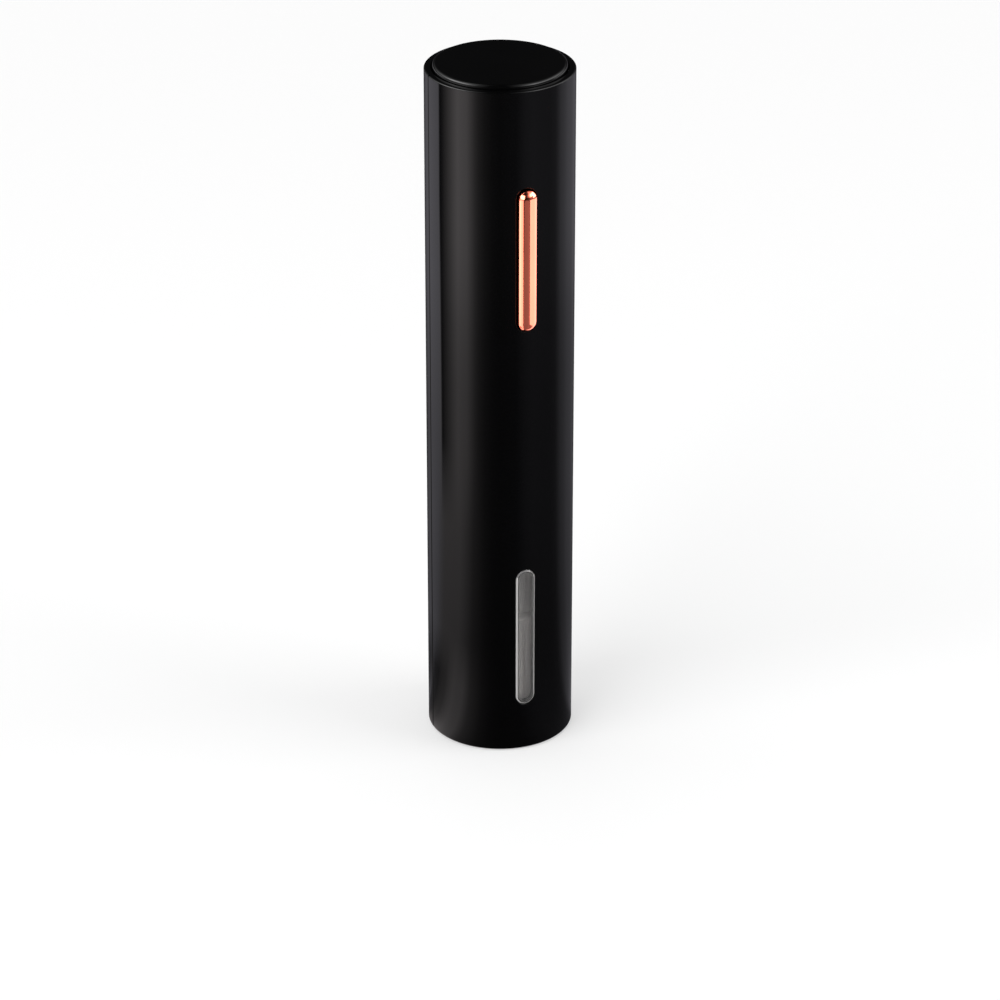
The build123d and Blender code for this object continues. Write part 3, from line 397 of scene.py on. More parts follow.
def slotPatch(slot):
    # rings from a rectangle of the wall's grid in to the slot's outline, over its rounded lip, through the
    # wall and out to the same rectangle on the bore; each point heads for the nearest point of the slot's
    # middle line
    low, high = slotSpan(slot)
    across = np.arange(-patch["halfDeg"], patch["halfDeg"] + 0.1, barrel["stepDeg"])
    up = np.linspace(low, high, patch["steps"] + 1)
    deg = np.concatenate([across[:-1], np.full(len(up) - 1, across[-1]), across[:0:-1],
                          np.full(len(up) - 1, across[0])])
    z = np.concatenate([np.full(len(across) - 1, low), up[:-1], np.full(len(across) - 1, high), up[:0:-1]])
    half, reach = slot["width"] / 2, (slot["length"] - slot["width"]) / 2
    x = barrel["radius"] * np.radians(deg)
    lineZ = np.clip(z, slot["middle"] - reach, slot["middle"] + reach)
    size = np.hypot(x, z - lineZ)
    dx, dz = x / size, (z - lineZ) / size
    big, bore, lip = barrel["radius"], barrel["bore"], barrel["slotRound"]
    rings = [(big, half + lip, t) for t in (0.0, 0.25, 0.5, 0.7, 0.85, 0.94, 0.985, 1.0)]
    bend = np.radians([22.5, 45.0, 67.5, 90.0])
    rings += [(big - lip * (1 - math.cos(q)), half + lip * (1 - math.sin(q)), 1.0) for q in bend]
    rings += [(big - lip - barrel["wallHold"], half, 1.0)]
    rings += [(bore, half, t) for t in (1.0, 0.5, 0.0)]
    grid = []
    for radius, width, t in rings:
        a = (1 - t) * np.radians(deg) + t * np.arcsin(width * dx / radius)
        level = (1 - t) * z + t * (lineZ + width * dz)
        grid.append(np.stack([radius * np.sin(a), -radius * np.cos(a), level], 1))
    return np.array(grid)


def slotMask(profile, angles):
    # grid quads that a slot's patch takes the place of, on the wall and on the bore
    skip = np.zeros((len(profile), len(angles)), bool)
    following = np.roll(profile, -1, 0)
    upright = np.abs(profile[:, 0] - following[:, 0]) < 1e-9
    centre = (profile[:, 1] + following[:, 1]) / 2
    inAngle = np.zeros(len(angles), bool)
    inAngle[:-1] = np.abs((angles[:-1] + angles[1:]) / 2) < patch["halfDeg"]
    for slot in (rockerSlot, windowSlot):
        low, high = slotSpan(slot)
        skip |= (upright & (centre > low) & (centre < high))[:, None] & inAngle
    return skip


def seamLoops(rows, cols):
    # the first and last columns of a half, which close it at the seam
    first = np.arange(rows) * cols
    return [first.tolist(), (first + cols - 1).tolist()]


profile, angles = wallProfile(), barrelAngles()
frontGrid, rearGrid = barrelHalf(0.0), barrelHalf(180.0)
frontSheets = [(frontGrid, True, False, slotMask(profile, angles))]
frontSheets += [(slotPatch(slot), False, True, None) for slot in (rockerSlot, windowSlot)]
makePiece("barrelFront", frontSheets, [glossBlack], "housing", ["front_shell"],
          caps=seamLoops(*frontGrid.shape[:2]))
makePiece("barrelRear", [(rearGrid, True, False, None)], [glossBlack], "housing", ["rear_shell"],
          caps=seamLoops(*rearGrid.shape[:2]))

# the battery cover in the top of the barrel
cover = {"radius": 21.4, "top": 233.5, "edgeIn": 1.05, "edgeDown": 1.1, "seat": 223.6, "plug": 19.75,
         "plugEnd": 221.9, "bore": 18.2, "ceiling": 231.5, "barHalf": 3.5, "barSide": 7.9, "barFront": -10.9,
         "barRear": 14.9, "barEnd": 223.2, "barLap": 0.6, "chamfer": 0.4, "easing": 0.3, "rings": (8.0, 16.0)}


def coverProfile():
    # (r, z) line from the middle of the top out over an elliptic edge, down the side and back underneath
    c, quarter = cover, np.radians(np.linspace(90, 0, 14))
    flat = [(r, c["top"]) for r in (0.0, *c["rings"], c["radius"] - c["edgeIn"] - c["easing"])]
    edge = np.stack([c["radius"] - c["edgeIn"] * (1 - np.cos(quarter)),
                     c["top"] - c["edgeDown"] * (1 - np.sin(quarter))], 1)
    under = [(c["radius"], c["top"] - c["edgeDown"] - c["easing"]), (c["radius"], c["seat"] + c["chamfer"]),
             (c["radius"] - c["easing"], c["seat"]), (c["plug"], c["seat"]),
             (c["plug"], c["plugEnd"] + c["chamfer"]), (c["plug"] - c["chamfer"], c["plugEnd"]),
             (c["bore"], c["plugEnd"]), (c["bore"], c["ceiling"]), (0.0, c["ceiling"])]
    return np.concatenate([flat, edge, under])


def coverBar(side):
    # a bar under the cover that carries a contact, let a little into the ceiling
    middle, half = side * cover["barSide"], cover["barHalf"]
    return boxGrid(middle - half, middle + half, cover["barFront"], cover["barRear"], cover["barEnd"],
                   cover["ceiling"] + cover["barLap"])


coverGrids = [turnedGrid(coverProfile(), 240), coverBar(-1), coverBar(1)]
coverSheets = [(grid, False, True, None) for grid in coverGrids]
makePiece("coverCap", coverSheets, [glossBlack], "battery_lid", ["battery_cover"])

# the long rocker button
rocker = {"middle": 175.4, "length": 47.7, "width": 5.9, "crown": 26.4, "dome": 1.4, "shoulder": 0.12,
          "base": 21.0, "lug": (-2.5, 2.5, -21.2, -18.5, 173.4, 177.4), "nub": 1.6, "nubTip": 20.5,
          "nubLap": 0.1, "spread": 14.0, "corner": (0.03, 0.02, 0.1), "baseEdge": 0.2, "crownRings": 18}


def pillOutline(length, width, arcSteps=32, lineSteps=60):
    # middle-line height and outward direction of each point round a pill, from the right side upwards
    reach = (length - width) / 2
    turn = np.radians(np.linspace(0, 180, arcSteps + 1))
    rise = np.linspace(-reach, reach, lineSteps + 1)[1:-1]
    level = np.concatenate([np.full(arcSteps + 1, reach), rise[::-1], np.full(arcSteps + 1, -reach), rise])
    angle = np.concatenate([turn, np.full(len(rise), np.pi), turn + np.pi, np.zeros(len(rise))])
    return level, np.cos(angle), np.sin(angle)


def rockerGrid():
    # rings from the middle line out over a circular crown, down the sides and back in under the base
    level, dx, dz = pillOutline(rocker["length"], rocker["width"])
    half, base, edge = rocker["width"] / 2, rocker["base"], rocker["baseEdge"]
    crownRadius = (half**2 + rocker["dome"]**2) / (2 * rocker["dome"])
    axis = rocker["crown"] - crownRadius
    out = (half - rocker["shoulder"]) * np.sin(np.linspace(0, np.pi / 2, rocker["crownRings"]))
    rings = [(p, axis + math.sqrt(crownRadius**2 - p**2)) for p in out]
    foot = rocker["crown"] - rocker["dome"]
    inward, rise, drop = rocker["corner"]
    rings += [(half - inward, foot + rise), (half, foot - drop), (half, base + edge), (half - edge, base),
              (0.0, base)]
    return np.array([np.stack([p * dx, np.full_like(dx, -depth), rocker["middle"] + level + p * dz], 1)
                     for p, depth in rings])


def frontRod(radius, near, far, x, z, around=40):
    # a round rod along Y, closed at both ends: rings of a circle at set depths
    t = np.linspace(0, 2 * np.pi, around, endpoint=False)
    rings = [(0.0, near), (radius, near), (radius, far), (0.0, far)]
    return np.array([np.stack([x + r * np.cos(t), np.full_like(t, -depth), z + r * np.sin(t)], 1)
                     for r, depth in rings])


nubs = [(frontRod(rocker["nub"], rocker["base"] + rocker["nubLap"], rocker["nubTip"], 0,
                  rocker["middle"] + s * rocker["spread"]), False, True, None) for s in (-1, 1)]
rockerSheets = [(rockerGrid(), False, True, None), (boxGrid(*rocker["lug"]), False, True, None), *nubs]
rockerPiece = makePiece("rockerCap", rockerSheets, [copper], "rocker", ["rocker_button"],
                        sharp=40.0)

# the window's clear lens
lens = {"middle": 41.4, "length": 49.5, "width": 6.6, "outer": 24.1, "wall": 21.85, "inner": 20.6,
        "flange": 2.0, "bevelIn": 0.5, "bevelDown": 0.5, "line": 0.26, "border": 0.8, "endFrom": 0.3,
        "corner": (0.06, 0.03, 0.05)}


def lensRings(rings):
    # each ring is a pill at a set distance from the middle line, bent to the barrel's round: its depth is the
    # root of radius squared less x squared
    level, dx, dz = pillOutline(lens["length"], lens["width"])
    p, radius = np.array(rings).T[:, :, None]
    x = p * dx
    return np.stack([x, -np.sqrt(radius**2 - x**2), lens["middle"] + level + p * dz], 2)


def lensSheets():
    # the face is clear, with a painted highlight line and a painted shade line on it, both flat; the bevel
    # round it carries a painted highlight, dimmer at the top end; the sides and a border of the back are flat
    # black
    half, line = lens["width"] / 2, lens["line"]
    wide, inset = half + lens["flange"], half - lens["bevelIn"]
    low = lens["outer"] - lens["bevelDown"]
    along, off, drop = lens["corner"]
    face = [(q, lens["outer"]) for q in np.linspace(0, inset - 2 * line, 6)]
    # a pale band, then a dark-tinted band named groove: painted highlight and painted shade, with no groove
    # cut
    faint = [face[-1], (inset - line, lens["outer"])]
    groove = [faint[-1], (inset, lens["outer"])]
    bevel = [groove[-1], (inset + along, lens["outer"] - off), (half - off, low + along), (half, low - drop)]
    sides = [bevel[-1], (half, lens["wall"]), (wide, lens["wall"]), (wide, lens["inner"])]
    sides += [(half - lens["border"], lens["inner"])]
    back = [(q, lens["inner"]) for q in np.linspace(half - lens["border"], 0, 5)]
    topEnd = pillOutline(lens["length"], lens["width"])[2] > lens["endFrom"]
    ends = np.broadcast_to(topEnd, (len(bevel), len(topEnd)))
    order = [(face, None), (faint, None), (groove, None), (bevel, ends), (bevel, ~ends), (sides, None),
             (back, None)]
    return [(lensRings(rings), False, True, skip) for rings, skip in order]


# clear face, painted highlight line, painted shade line, painted bevel highlights, black sides, clear back
lensFinish = [acrylic, acrylicPaintedHighlightLine, acrylicPaintedShadeLine, acrylicPaintedHighlightEdge, acrylicPaintedHighlightEnd, materialOf["mask_ink"],
              acrylicInside]
makePiece("windowLens", lensSheets(), lensFinish, "housing", ["window_lens"], sharp=20.0)

# the neck guide, the cork sleeve and the worm
collar = {"outside": 21.75, "bottom": 0.3, "grooveWall": 19.95, "groove": (3.9, 6.0), "flangeTop": 8.0,
          "skirt": 19.4, "top": 16.0, "socket": 18.0, "socketFloor": 12.0, "bore": 15.6, "leadIn": 3.0,
          "edge": 0.3, "flareStart": (0.1, 0.4), "flareEnd": (0.4, 0.35)}


def collarProfile():
    # closed (r, z) loop: foot, grooved flange, skirt, then the socket, the bore and its flared mouth
    k, edge = collar, collar["edge"]
    low, high = k["groove"]
    (out, down), (inward, up) = k["flareStart"], k["flareEnd"]
    outer = [(k["socket"], k["bottom"]), (k["outside"] - edge, k["bottom"]),
             (k["outside"], k["bottom"] + edge), (k["outside"], low), (k["grooveWall"], low),
             (k["grooveWall"], high), (k["outside"], high), (k["outside"], k["flangeTop"]),
             (k["skirt"], k["flangeTop"]), (k["skirt"], k["top"] - edge), (k["skirt"] - edge, k["top"])]
    inner = [(k["socket"], k["top"]), (k["socket"], k["socketFloor"]), (k["bore"] + edge, k["socketFloor"]),
             (k["bore"], k["socketFloor"] - edge), (k["bore"], k["leadIn"]),
             (k["bore"] + out, k["leadIn"] - down), (k["socket"] - inward, k["bottom"] + up)]
    return outer + inner


makePiece("neckCollar", [(turnedGrid(collarProfile(), 200), True, True, None)],
          [materialOf["black_matt_abs"]], "housing", ["bottle_collar"])

sleeve = {"neckBore": 16.2, "neckWall": 17.9, "bottom": 12.0, "stop": 44.0, "shoulder": 46.0,
          "corkBore": 13.2, "corkWall": 14.6, "flange": 19.5, "flangeLow": 97.0, "top": 100.0, "ribs": 6,
          "ribHeight": 1.3, "ribHalf": 3.2, "ribLow": 5.5, "ribEnd": 0.5, "bevel": 0.6, "edge": 0.4,
          "around": 720}


def sleeveGrid():
    # a stepped (r, z) profile carried round; in the cork chamber the bore steps in at each rib, whose sides
    # each take one degree
    s, around = sleeve, sleeve["around"]
    outside = [(s["neckBore"], s["bottom"]), (s["neckWall"], s["bottom"]),
               (s["neckWall"], s["shoulder"] - s["bevel"]), (s["neckWall"] - s["bevel"], s["shoulder"]),
               (s["corkWall"], s["shoulder"]), (s["corkWall"], s["flangeLow"]), (s["flange"], s["flangeLow"]),
               (s["flange"], s["top"])]
    levels = [s["top"], s["flangeLow"], s["flangeLow"] - s["ribEnd"], s["stop"] + s["ribLow"],
              s["stop"] + s["ribLow"] - s["ribEnd"], s["stop"] + s["edge"]]
    inside = [(s["corkBore"], z) for z in levels]
    inside += [(s["corkBore"] + s["edge"], s["stop"]), (s["neckBore"], s["stop"])]
    grid = turnedGrid(outside + inside, around)
    t = np.degrees(np.arange(around) * 2 * np.pi / around)
    pitch = 360 / s["ribs"]
    off = np.abs((t + pitch / 2) % pitch - pitch / 2)
    rise = np.clip(s["ribHalf"] + 0.5 - off, 0, 1) * s["ribHeight"]
    scale = 1 - rise / s["corkBore"]
    for row in (len(outside) + 2, len(outside) + 3):
        grid[row, :, :2] *= scale[:, None]
    return grid


makePiece("corkSleeve", [(sleeveGrid(), True, True, None)], [milky], "housing", ["cork_sleeve"])

worm = {"tip": 14.5, "top": 90.6, "coil": 3.0, "wire": 1.5, "pitch": 9.5, "point": 6.0, "pointWire": 0.25,
        "pointSteps": 60, "coilSteps": 620, "around": 28}


def wormGrid():
    # a circle carried along a right-hand helix; the wire's radius grows evenly over the point
    w = worm
    z = np.concatenate([np.linspace(w["tip"], w["tip"] + w["point"], w["pointSteps"])[:-1],
                        np.linspace(w["tip"] + w["point"], w["top"], w["coilSteps"])])
    a = 2 * np.pi * (z - w["tip"] - w["point"]) / w["pitch"]
    wire = w["pointWire"] + (w["wire"] - w["pointWire"]) * np.clip((z - w["tip"]) / w["point"], 0, 1)
    wire = np.concatenate([[0.0], wire, [0.0]])
    z, a = np.concatenate([z[:1], z, z[-1:]]), np.concatenate([a[:1], a, a[-1:]])
    slope = w["pitch"] / (2 * np.pi * w["coil"])
    size = math.hypot(1, slope)
    zero = np.zeros_like(a)
    outward = np.stack([np.cos(a), np.sin(a), zero], 1)
    binormal = np.stack([np.sin(a) * slope, -np.cos(a) * slope, zero + 1], 1) / size
    centre = np.stack([w["coil"] * np.cos(a), w["coil"] * np.sin(a), z], 1)
    q = np.linspace(0, 2 * np.pi, w["around"], endpoint=False)
    ring = outward[:, None] * np.cos(q)[None, :, None] + binormal[:, None] * np.sin(q)[None, :, None]
    return centre[:, None] + wire[:, None, None] * ring


makePiece("wormCoil", [(wormGrid(), False, True, None)], [materialOf["polished_steel"]], "output", ["worm"],
          sharp=60.0)

# the battery cells
cells = {"radius": 7.1, "length": 50.5, "nub": 2.7, "nubHeight": 1.3, "edge": 0.5, "side": 7.9, "front": -5.9,
         "rear": 9.9, "raised": 172.3, "low": 168.3, "baseIn": 1.3, "baseUp": 0.12, "lap": 1.6, "dish": 0.15,
         "nubEdge": 0.4, "step": 0.1}


def cellProfiles():
    # bare metal base, film with a rolled lower edge, and the metal top with its nub
    r, n, edge, nubEdge, step = (cells[key] for key in ("radius", "nub", "edge", "nubEdge", "step"))
    tall, foot = cells["length"], r - cells["baseIn"]
    shoulder, lap = tall - cells["nubHeight"], r - cells["lap"]
    dish = shoulder - cells["dish"]
    base = np.array([[0.0, 0.0], [foot, 0.0], [foot + step, cells["baseUp"]]])
    film = np.concatenate([[[foot + step, cells["baseUp"]], [foot + 2 * step, 0.0]],
                           arcPoints(r - edge, edge, edge, -90, 0, 6),
                           arcPoints(r - edge, shoulder - edge, edge, 0, 90, 6), [[lap, shoulder]]])
    top = np.concatenate([[[lap, shoulder], [lap - step, dish], [n + step, dish], [n, shoulder]],
                          arcPoints(n - nubEdge, tall - nubEdge, nubEdge, 0, 90, 6), [[0.0, tall]]])
    return base, film, top


def cellSheets():
    # two cells stand nub up and two nub down, a step lower; metal ends first, then the films
    metal, films = [], []
    for x, y, up in ((-cells["side"], cells["front"], True), (cells["side"], cells["rear"], True),
                     (-cells["side"], cells["rear"], False), (cells["side"], cells["front"], False)):
        for part, group in zip(cellProfiles(), (metal, films, metal)):
            z = cells["raised"] + part[:, 1] if up else cells["low"] + cells["length"] - part[:, 1]
            group.append((turnedGrid(np.stack([part[:, 0], z], 1), 72, x, y), False, True, None))
    return metal, films


metalEnds, films = cellSheets()
cellFinish = [materialOf["nickel_strip"]] * len(metalEnds) + [materialOf["cell_sleeve"]]
makePiece("batteryCells", metalEnds + films, cellFinish, "housing", ["battery_cells"])
print("shapes done")

# floor, light and camera
studio = {"floorSize": 8.0, "drop": 0.0002, "paper": "#c6c6c6", "paperLift": 0.4, "roomLevel": 0.35,
          "darkLevel": 0.012, "boxLevel": 10.0, "lensLight": 1.2, "coolCard": "#f7f4ff",
          "coolSpan": (0.2, 0.58), "warmCard": "#fff7f8", "warmSpan": (0.25, 0.45), "cardReach": (0.03, 1.1),
          "cardHeight": 0.002, "cardTop": 2.0, "rockerEnd": (0, 0, 0.197)}
view = {"azimuth": -20.6, "pitch": 25.946, "distance": 1.3939, "target": 0.08071, "lens": 152.41,
        "sensor": 36.0, "clip": (0.05, 20.0)}
# where the floor's cards blend into each other, by distance in metres: the strip leans by these degrees over
# its reach, the foot's cards give way to the near ones and these to the far ones, all grow brighter outwards,
# and the paper runs to plain white
blends = {"leanDeg": (-2.0, 3.4), "lean": (0.2, 0.5), "foot": (0.062, 0.095), "near": (0.18, 0.25),
          "fade": (0.1, 0.4), "fadeLevel": (0.84, 2.0), "white": (0.45, 1.3)}
# brightness of the studio floor as the polished barrel sees it, by angle round the object from the camera's
# side: white cards at the back left and right, a soft card at the front left, and a dark table in front
rightCards = [(0, 0.05), (24, 0.08), (38, 0.2), (50, 0.24), (80, 0.17), (92, 0.19), (104, 0.44),
              (122, 0.46), (136, 0.32), (150, 0.26), (160, 0.1), (168, 0.12), (180, 0.35)]
backStrip = [(-180, 0.3), (-168, 0.05), (-160, 0.06), (-147, 0.27), (-134, 0.5), (-122, 0.74), (-111, 0.98),
             (-102, 1.15), (-99.5, 0.0), (-99, 0.0), (180, 0.0)]
glowCards = [(-180, 0.0), (-104, 0.0), (-96, 0.13), (-88, 0.42), (-80, 0.85), (-66, 1.85), (-51, 1.65),
             (-45, 1.2), (-38, 0.65), (-32, 0.37), (-23, 0.18), (-12, 0.08), *rightCards]
nearCards = [(-180, 0.3), (-168, 0.05), (-160, 0.06), (-147, 0.28), (-125, 0.75), (-108, 1.1), (-92, 1.05),
             (-76, 1.4), (-62, 1.65), (-54, 1.35), (-47, 1.0), (-40, 0.58), (-24, 0.2), (-12, 0.08),
             *rightCards]
footCards = [(-180, 0.3), (-168, 0.05), (-147, 0.12), (-127, 0.22), (-115, 0.42), (-108, 0.22), (-97, 0.24),
             (-81, 0.75), (-66, 2.1), (-51, 2.3), (-40, 1.0), (-24, 0.3), (-12, 0.1), *rightCards]
# the front left card dips where it bends, by distance in metres
glowReach = [(0, 1.0), (0.17, 1.0), (0.256, 0.9), (0.314, 0.83), (0.372, 0.9), (0.444, 1.12), (0.48, 1.18),
             (1, 1.18)]
# brightness of the soft boxes over the table, by the same angle, and how it changes with height in degrees
boxCards = [(-180, 0.0), (-170, 0.004), (-150, 0.03), (-130, 0.12), (-116, 0.22), (-104, 0.45), (-92, 0.95),
            (-78, 0.9), (-64, 0.8), (-50, 0.3), (-38, 0.08), (-20, 0.004), (14, 0.004), (34, 0.07),
            (50, 0.35), (62, 0.7), (74, 0.5), (96, 0.34), (112, 0.28), (130, 0.16), (150, 0.03),
            (170, 0.004), (180, 0.0)]
boxHeights = [(0, 0.08), (13, 0.1), (19, 1.0), (34, 1.0), (46, 0.3), (66, 0.18), (80, 0.03), (90, 0.0)]
# a screen at the sides towards the back, under four degrees high, which shows on the cover's edge
screenCards = [(-180, 0.0), (-165, 0.04), (-150, 0.35), (-143, 0.6), (-128, 1.4), (-112, 2.2), (-103, 2.0),
               (-94, 0.0), (94, 0.0), (103, 2.2), (112, 3.0), (128, 1.9), (143, 0.45), (150, 0.2),
               (165, 0.04), (180, 0.0)]
screenHeights = [(0, 1.0), (2.5, 1.0), (3.8, 0.0), (90, 0.0)]


def brightnessCurve(tree, value, spots, low=-180, high=180, top=1.0):
    # straight lines through the given (place, brightness) pairs, brightness as a share of the top value
    curve = addNode(tree, "FloatCurve", links={"Value": value})
    points = curve.mapping.curves[0].points
    curve.mapping.use_clip = False
    places = [((spot - low) / (high - low), level / top) for spot, level in spots]
    points[0].location, points[1].location = places[0], places[-1]
    for place in places[1:-1]:
        points.new(*place)
    for point in points:
        point.handle_type = "VECTOR"
    curve.mapping.update()
    return curve


def bearingShare(tree, place):
    # angle round the object from the camera's side, 0 at the back left to 1 at the back right, and the height
    turn = (0, 0, math.radians(90 - view["azimuth"]))
    turned = addNode(tree, "Mapping", {"Rotation": turn}, {"Vector": place})
    parts = addNode(tree, "SeparateXYZ", links={"Vector": turned})
    bearing = addNode(tree, "Math", links={0: parts.outputs["Y"], 1: parts.outputs["X"]}, operation="ARCTAN2")
    share = addNode(tree, "MapRange", spanValues((-math.pi, math.pi)), {"Value": bearing})
    return share, parts.outputs["Z"]


def windowLight(tree, path):
    # white seen through the lens, and stronger as light that comes in through it to the sleeve behind
    inside = addNode(tree, "Math", {1: 1.0}, {0: path.outputs["Diffuse Depth"]}, operation="MINIMUM")
    return addNode(tree, "Math", {1: studio["lensLight"], 2: 1.0}, {0: inside}, operation="MULTIPLY_ADD")


def mirroredFloor(tree, place, away):
    # the cards that the polished pieces see: the far strip lies a little askew, so its bearing drifts with
    # distance, and close in the cards run together
    share, top = bearingShare(tree, place)[0], studio["cardTop"]
    lean = [degrees / 360 for degrees in blends["leanDeg"]]
    drift = addNode(tree, "MapRange", spanValues(blends["lean"], lean), {"Value": away})
    askew = addNode(tree, "Math", links={0: share, 1: drift}, operation="ADD")
    strip = brightnessCurve(tree, askew, backStrip, top=top)
    glow = brightnessCurve(tree, share, glowCards, top=top)
    dip = brightnessCurve(tree, away, glowReach, 0, 1)
    far = addNode(tree, "Math", links={0: glow, 1: dip, 2: strip}, operation="MULTIPLY_ADD")
    near = brightnessCurve(tree, share, nearCards, top=top)
    foot = brightnessCurve(tree, share, footCards, top=top)
    rise = addNode(tree, "MapRange", spanValues(blends["foot"]), {"Value": away})
    close = addNode(tree, "Mix", links={0: rise, 2: foot, 3: near})
    reach = addNode(tree, "MapRange", spanValues(blends["near"]), {"Value": away})
    cards = addNode(tree, "Mix", links={0: reach, 2: close, 3: far})
    fade = addNode(tree, "MapRange", spanValues(blends["fade"], blends["fadeLevel"]), {"Value": away})
    level = addNode(tree, "Math", links={0: cards, 1: fade}, operation="MULTIPLY")
    # cool cards at the sides and behind, a slightly warm one at the front left
    tint = addNode(tree, "ValToRGB", links={"Fac": share})
    stops = tint.color_ramp.elements
    for stop, spot in zip(stops, studio["coolSpan"]):
        stop.position = spot
        stop.color = linearColour(studio["coolCard"])
    for spot in studio["warmSpan"]:
        stops.new(spot).color = linearColour(studio["warmCard"])
    return addNode(tree, "Emission", links={"Color": tint, "Strength": level})


def studioFloor():
    size, z = studio["floorSize"] / 2, -studio["drop"]
    mesh = bpy.data.meshes.new("studioFloor")
    corners = [(-size, -size, z), (size, -size, z), (size, size, z), (-size, size, z)]
    mesh.from_pydata(corners, [], [(0, 1, 2, 3)])
    floor = bpy.data.objects.new("studioFloor", mesh)
    bpy.context.scene.collection.objects.link(floor)
    material = bpy.data.materials.new("whitePaper")
    material.use_nodes = True
    tree = material.node_tree
    tree.nodes.clear()
    place = addNode(tree, "TexCoord").outputs["Object"]
    away = addNode(tree, "VectorMath", links={0: place}, operation="LENGTH").outputs["Value"]
    mirrored = mirroredFloor(tree, place, away)
    # matt white paper, lifted a little for the eye, which runs to plain white with distance
    paper = addNode(tree, "BsdfDiffuse", {"Color": linearColour(studio["paper"])})
    lift = addNode(tree, "Emission", {"Strength": studio["paperLift"]})
    lit = addNode(tree, "AddShader", links={0: paper, 1: lift})
    sweep = addNode(tree, "MapRange", spanValues(blends["white"]), {"Value": away})
    plain = addNode(tree, "Emission", {"Strength": 1.0})
    white = addNode(tree, "MixShader", links={0: sweep, 1: lit, 2: plain})
    path = addNode(tree, "LightPath")
    through = addNode(tree, "Emission", links={"Strength": windowLight(tree, path)})
    seen = paper
    for ray, shown in (("Is Camera Ray", white), ("Is Transmission Ray", through),
                       ("Is Glossy Ray", mirrored)):
        seen = addNode(tree, "MixShader", links={0: path.outputs[ray], 1: seen, 2: shown})
    # from below the eye looks through the floor at the foot
    back = addNode(tree, "NewGeometry").outputs["Backfacing"]
    under = addNode(tree, "Math", links={0: back, 1: path.outputs["Is Camera Ray"]}, operation="MULTIPLY")
    clear = addNode(tree, "BsdfTransparent")
    seen = addNode(tree, "MixShader", links={0: under, 1: seen, 2: clear})
    addNode(tree, "OutputMaterial", links={"Surface": seen})
    mesh.materials.append(material)


def areaLamp(name, wide, high, power):
    light = bpy.data.lights.new(name, "AREA")
    light.shape, light.size, light.size_y, light.energy = "RECTANGLE", wide, high, power
    lamp = bpy.data.objects.new(name, light)
    bpy.context.scene.collection.objects.link(lamp)
    lamp.visible_camera = False
    return lamp


def lightOnlyCopper(lamp):
    # the black gloss hardly shows these cards in the photograph, so only the copper mirrors them
    copperOnly = bpy.data.collections.new(lamp.name)
    copperOnly.objects.link(rockerPiece)
    lamp.light_linking.receiver_collection = copperOnly


def softBox(name, place, target, wide, high, power):
    lamp = areaLamp(name, wide, high, power)
    lamp.location = place
    lamp.rotation_euler = (Vector(place) - Vector(target)).to_track_quat("Z", "Y").to_euler()
    lamp.visible_glossy = False  # its mirror image is drawn by the cards
    return lamp


def lowCard(name, edge, side, wide, power):
    # a bright card lying on the table: with side -1 or 1 it lies to the left or right of a line at the
    # bearing, with 0 in the middle of it
    near, far = studio["cardReach"]
    lamp = areaLamp(name, wide, far - near, power)
    a, along, across = math.radians(view["azimuth"] + edge), (near + far) / 2, side * wide / 2
    lamp.location = (along * math.sin(a) + across * math.cos(a), across * math.sin(a) - along * math.cos(a),
                     studio["cardHeight"])
    lamp.rotation_euler = (math.pi, 0, a)
    lightOnlyCopper(lamp)


def highCard(name, bearing, away, height, size, power):
    # a bright square card standing beyond the table, which shows on the rocker's upper end
    a = math.radians(view["azimuth"] + bearing)
    place = (away * math.sin(a), -away * math.cos(a), height)
    lamp = softBox(name, place, studio["rockerEnd"], size, size, power)
    lamp.visible_glossy = True
    lightOnlyCopper(lamp)


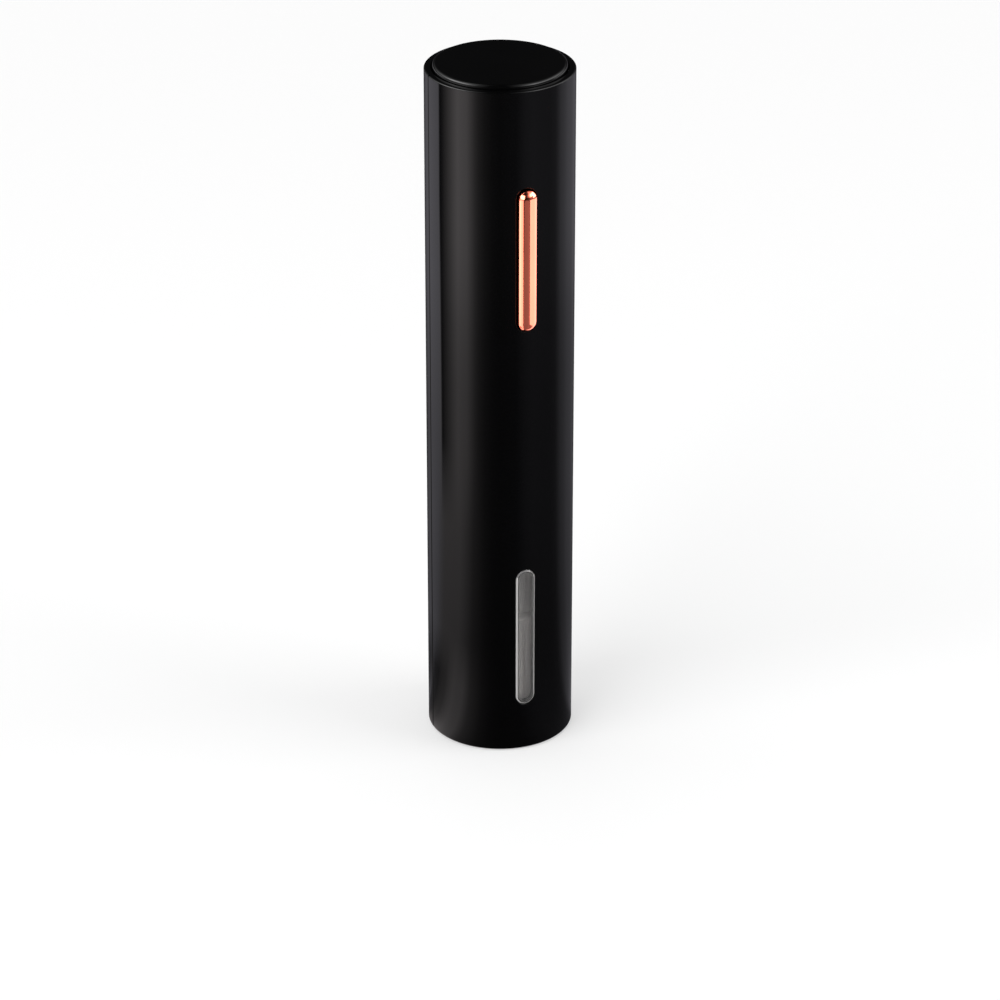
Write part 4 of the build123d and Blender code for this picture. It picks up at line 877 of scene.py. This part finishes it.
def studioWorld():
    world = bpy.data.worlds.new("studioWorld")
    bpy.context.scene.world = world
    world.use_nodes = True
    tree = world.node_tree
    tree.nodes.clear()
    path = addNode(tree, "LightPath")
    share, height = bearingShare(tree, addNode(tree, "TexCoord").outputs["Generated"])
    rise = addNode(tree, "Math", links={0: height}, operation="ARCSINE")
    upward = addNode(tree, "MapRange", spanValues((0.0, math.pi / 2)), {"Value": rise})
    around = brightnessCurve(tree, share, boxCards)
    high = brightnessCurve(tree, upward, boxHeights, 0, 90)
    boxes = addNode(tree, "Math", links={0: around, 1: high}, operation="MULTIPLY")
    behind = brightnessCurve(tree, share, screenCards)
    low = brightnessCurve(tree, upward, screenHeights, 0, 90)
    screen = addNode(tree, "Math", {2: studio["darkLevel"]}, {0: behind, 1: low}, operation="MULTIPLY_ADD")
    level = addNode(tree, "Math", {1: studio["boxLevel"]}, {0: boxes, 2: screen}, operation="MULTIPLY_ADD")
    room = addNode(tree, "Background", {"Color": (1, 1, 1, 1), "Strength": studio["roomLevel"]})
    mirrored = addNode(tree, "Background", {"Color": (1, 1, 1, 1)}, {"Strength": level})
    bright = addNode(tree, "Background", {"Color": (1, 1, 1, 1)}, {"Strength": windowLight(tree, path)})
    through = addNode(tree, "Math", links={0: path.outputs["Is Camera Ray"],
                      1: path.outputs["Is Transmission Ray"]}, operation="MAXIMUM")
    gloss = addNode(tree, "MixShader", links={0: path.outputs["Is Glossy Ray"], 1: room, 2: mirrored})
    both = addNode(tree, "MixShader", links={0: through, 1: gloss, 2: bright})
    addNode(tree, "OutputWorld", links={"Surface": both})


def studioCamera():
    camera = bpy.data.objects.new("camera", bpy.data.cameras.new("camera"))
    bpy.context.scene.collection.objects.link(camera)
    camera.data.lens, camera.data.sensor_width = view["lens"], view["sensor"]
    camera.data.clip_start, camera.data.clip_end = view["clip"]
    a, e = math.radians(view["azimuth"]), math.radians(view["pitch"])
    reach = view["distance"]
    camera.location = (reach * math.sin(a) * math.cos(e), -reach * math.cos(a) * math.cos(e),
                       view["target"] + reach * math.sin(e))
    camera.rotation_euler = (math.pi / 2 - e, 0, a)
    bpy.context.scene.camera = camera


# soft boxes: place, what they face, width, height in metres and watts
softBoxes = {"leftBox": ((-2.1, -0.9, 1.9), (0, 0, 0.12), 2.2, 2.2, 50.0),
             "rightBox": ((2.1, -1.2, 1.5), (0, 0, 0.12), 1.8, 2.2, 32.0),
             "topBox": ((-0.1, 0.5, 3.0), (0, 0.3, 0.15), 2.2, 2.2, 30.0)}
# low cards: bearing of the edge, side of it, width and watts
lowCards = {"leftCard": (-17.0, -1, 0.42, 3.6), "middleCard": (14.0, 0, 0.36, 0.34),
            "rightCard": (45.0, 1, 0.72, 6.0)}
# high cards: bearing, distance, height, size and watts
highCards = {"leftEndCard": (-26.0, 1.0, 0.5, 0.7, 10.0), "rightEndCard": (98.0, 1.0, 0.5, 0.7, 10.0)}
studioFloor()
studioWorld()
studioCamera()
for make, group in ((softBox, softBoxes), (lowCard, lowCards), (highCard, highCards)):
    for name, values in group.items():
        make(name, *values)
bpy.context.scene.view_settings.view_transform = "Standard"
print("studio ready")
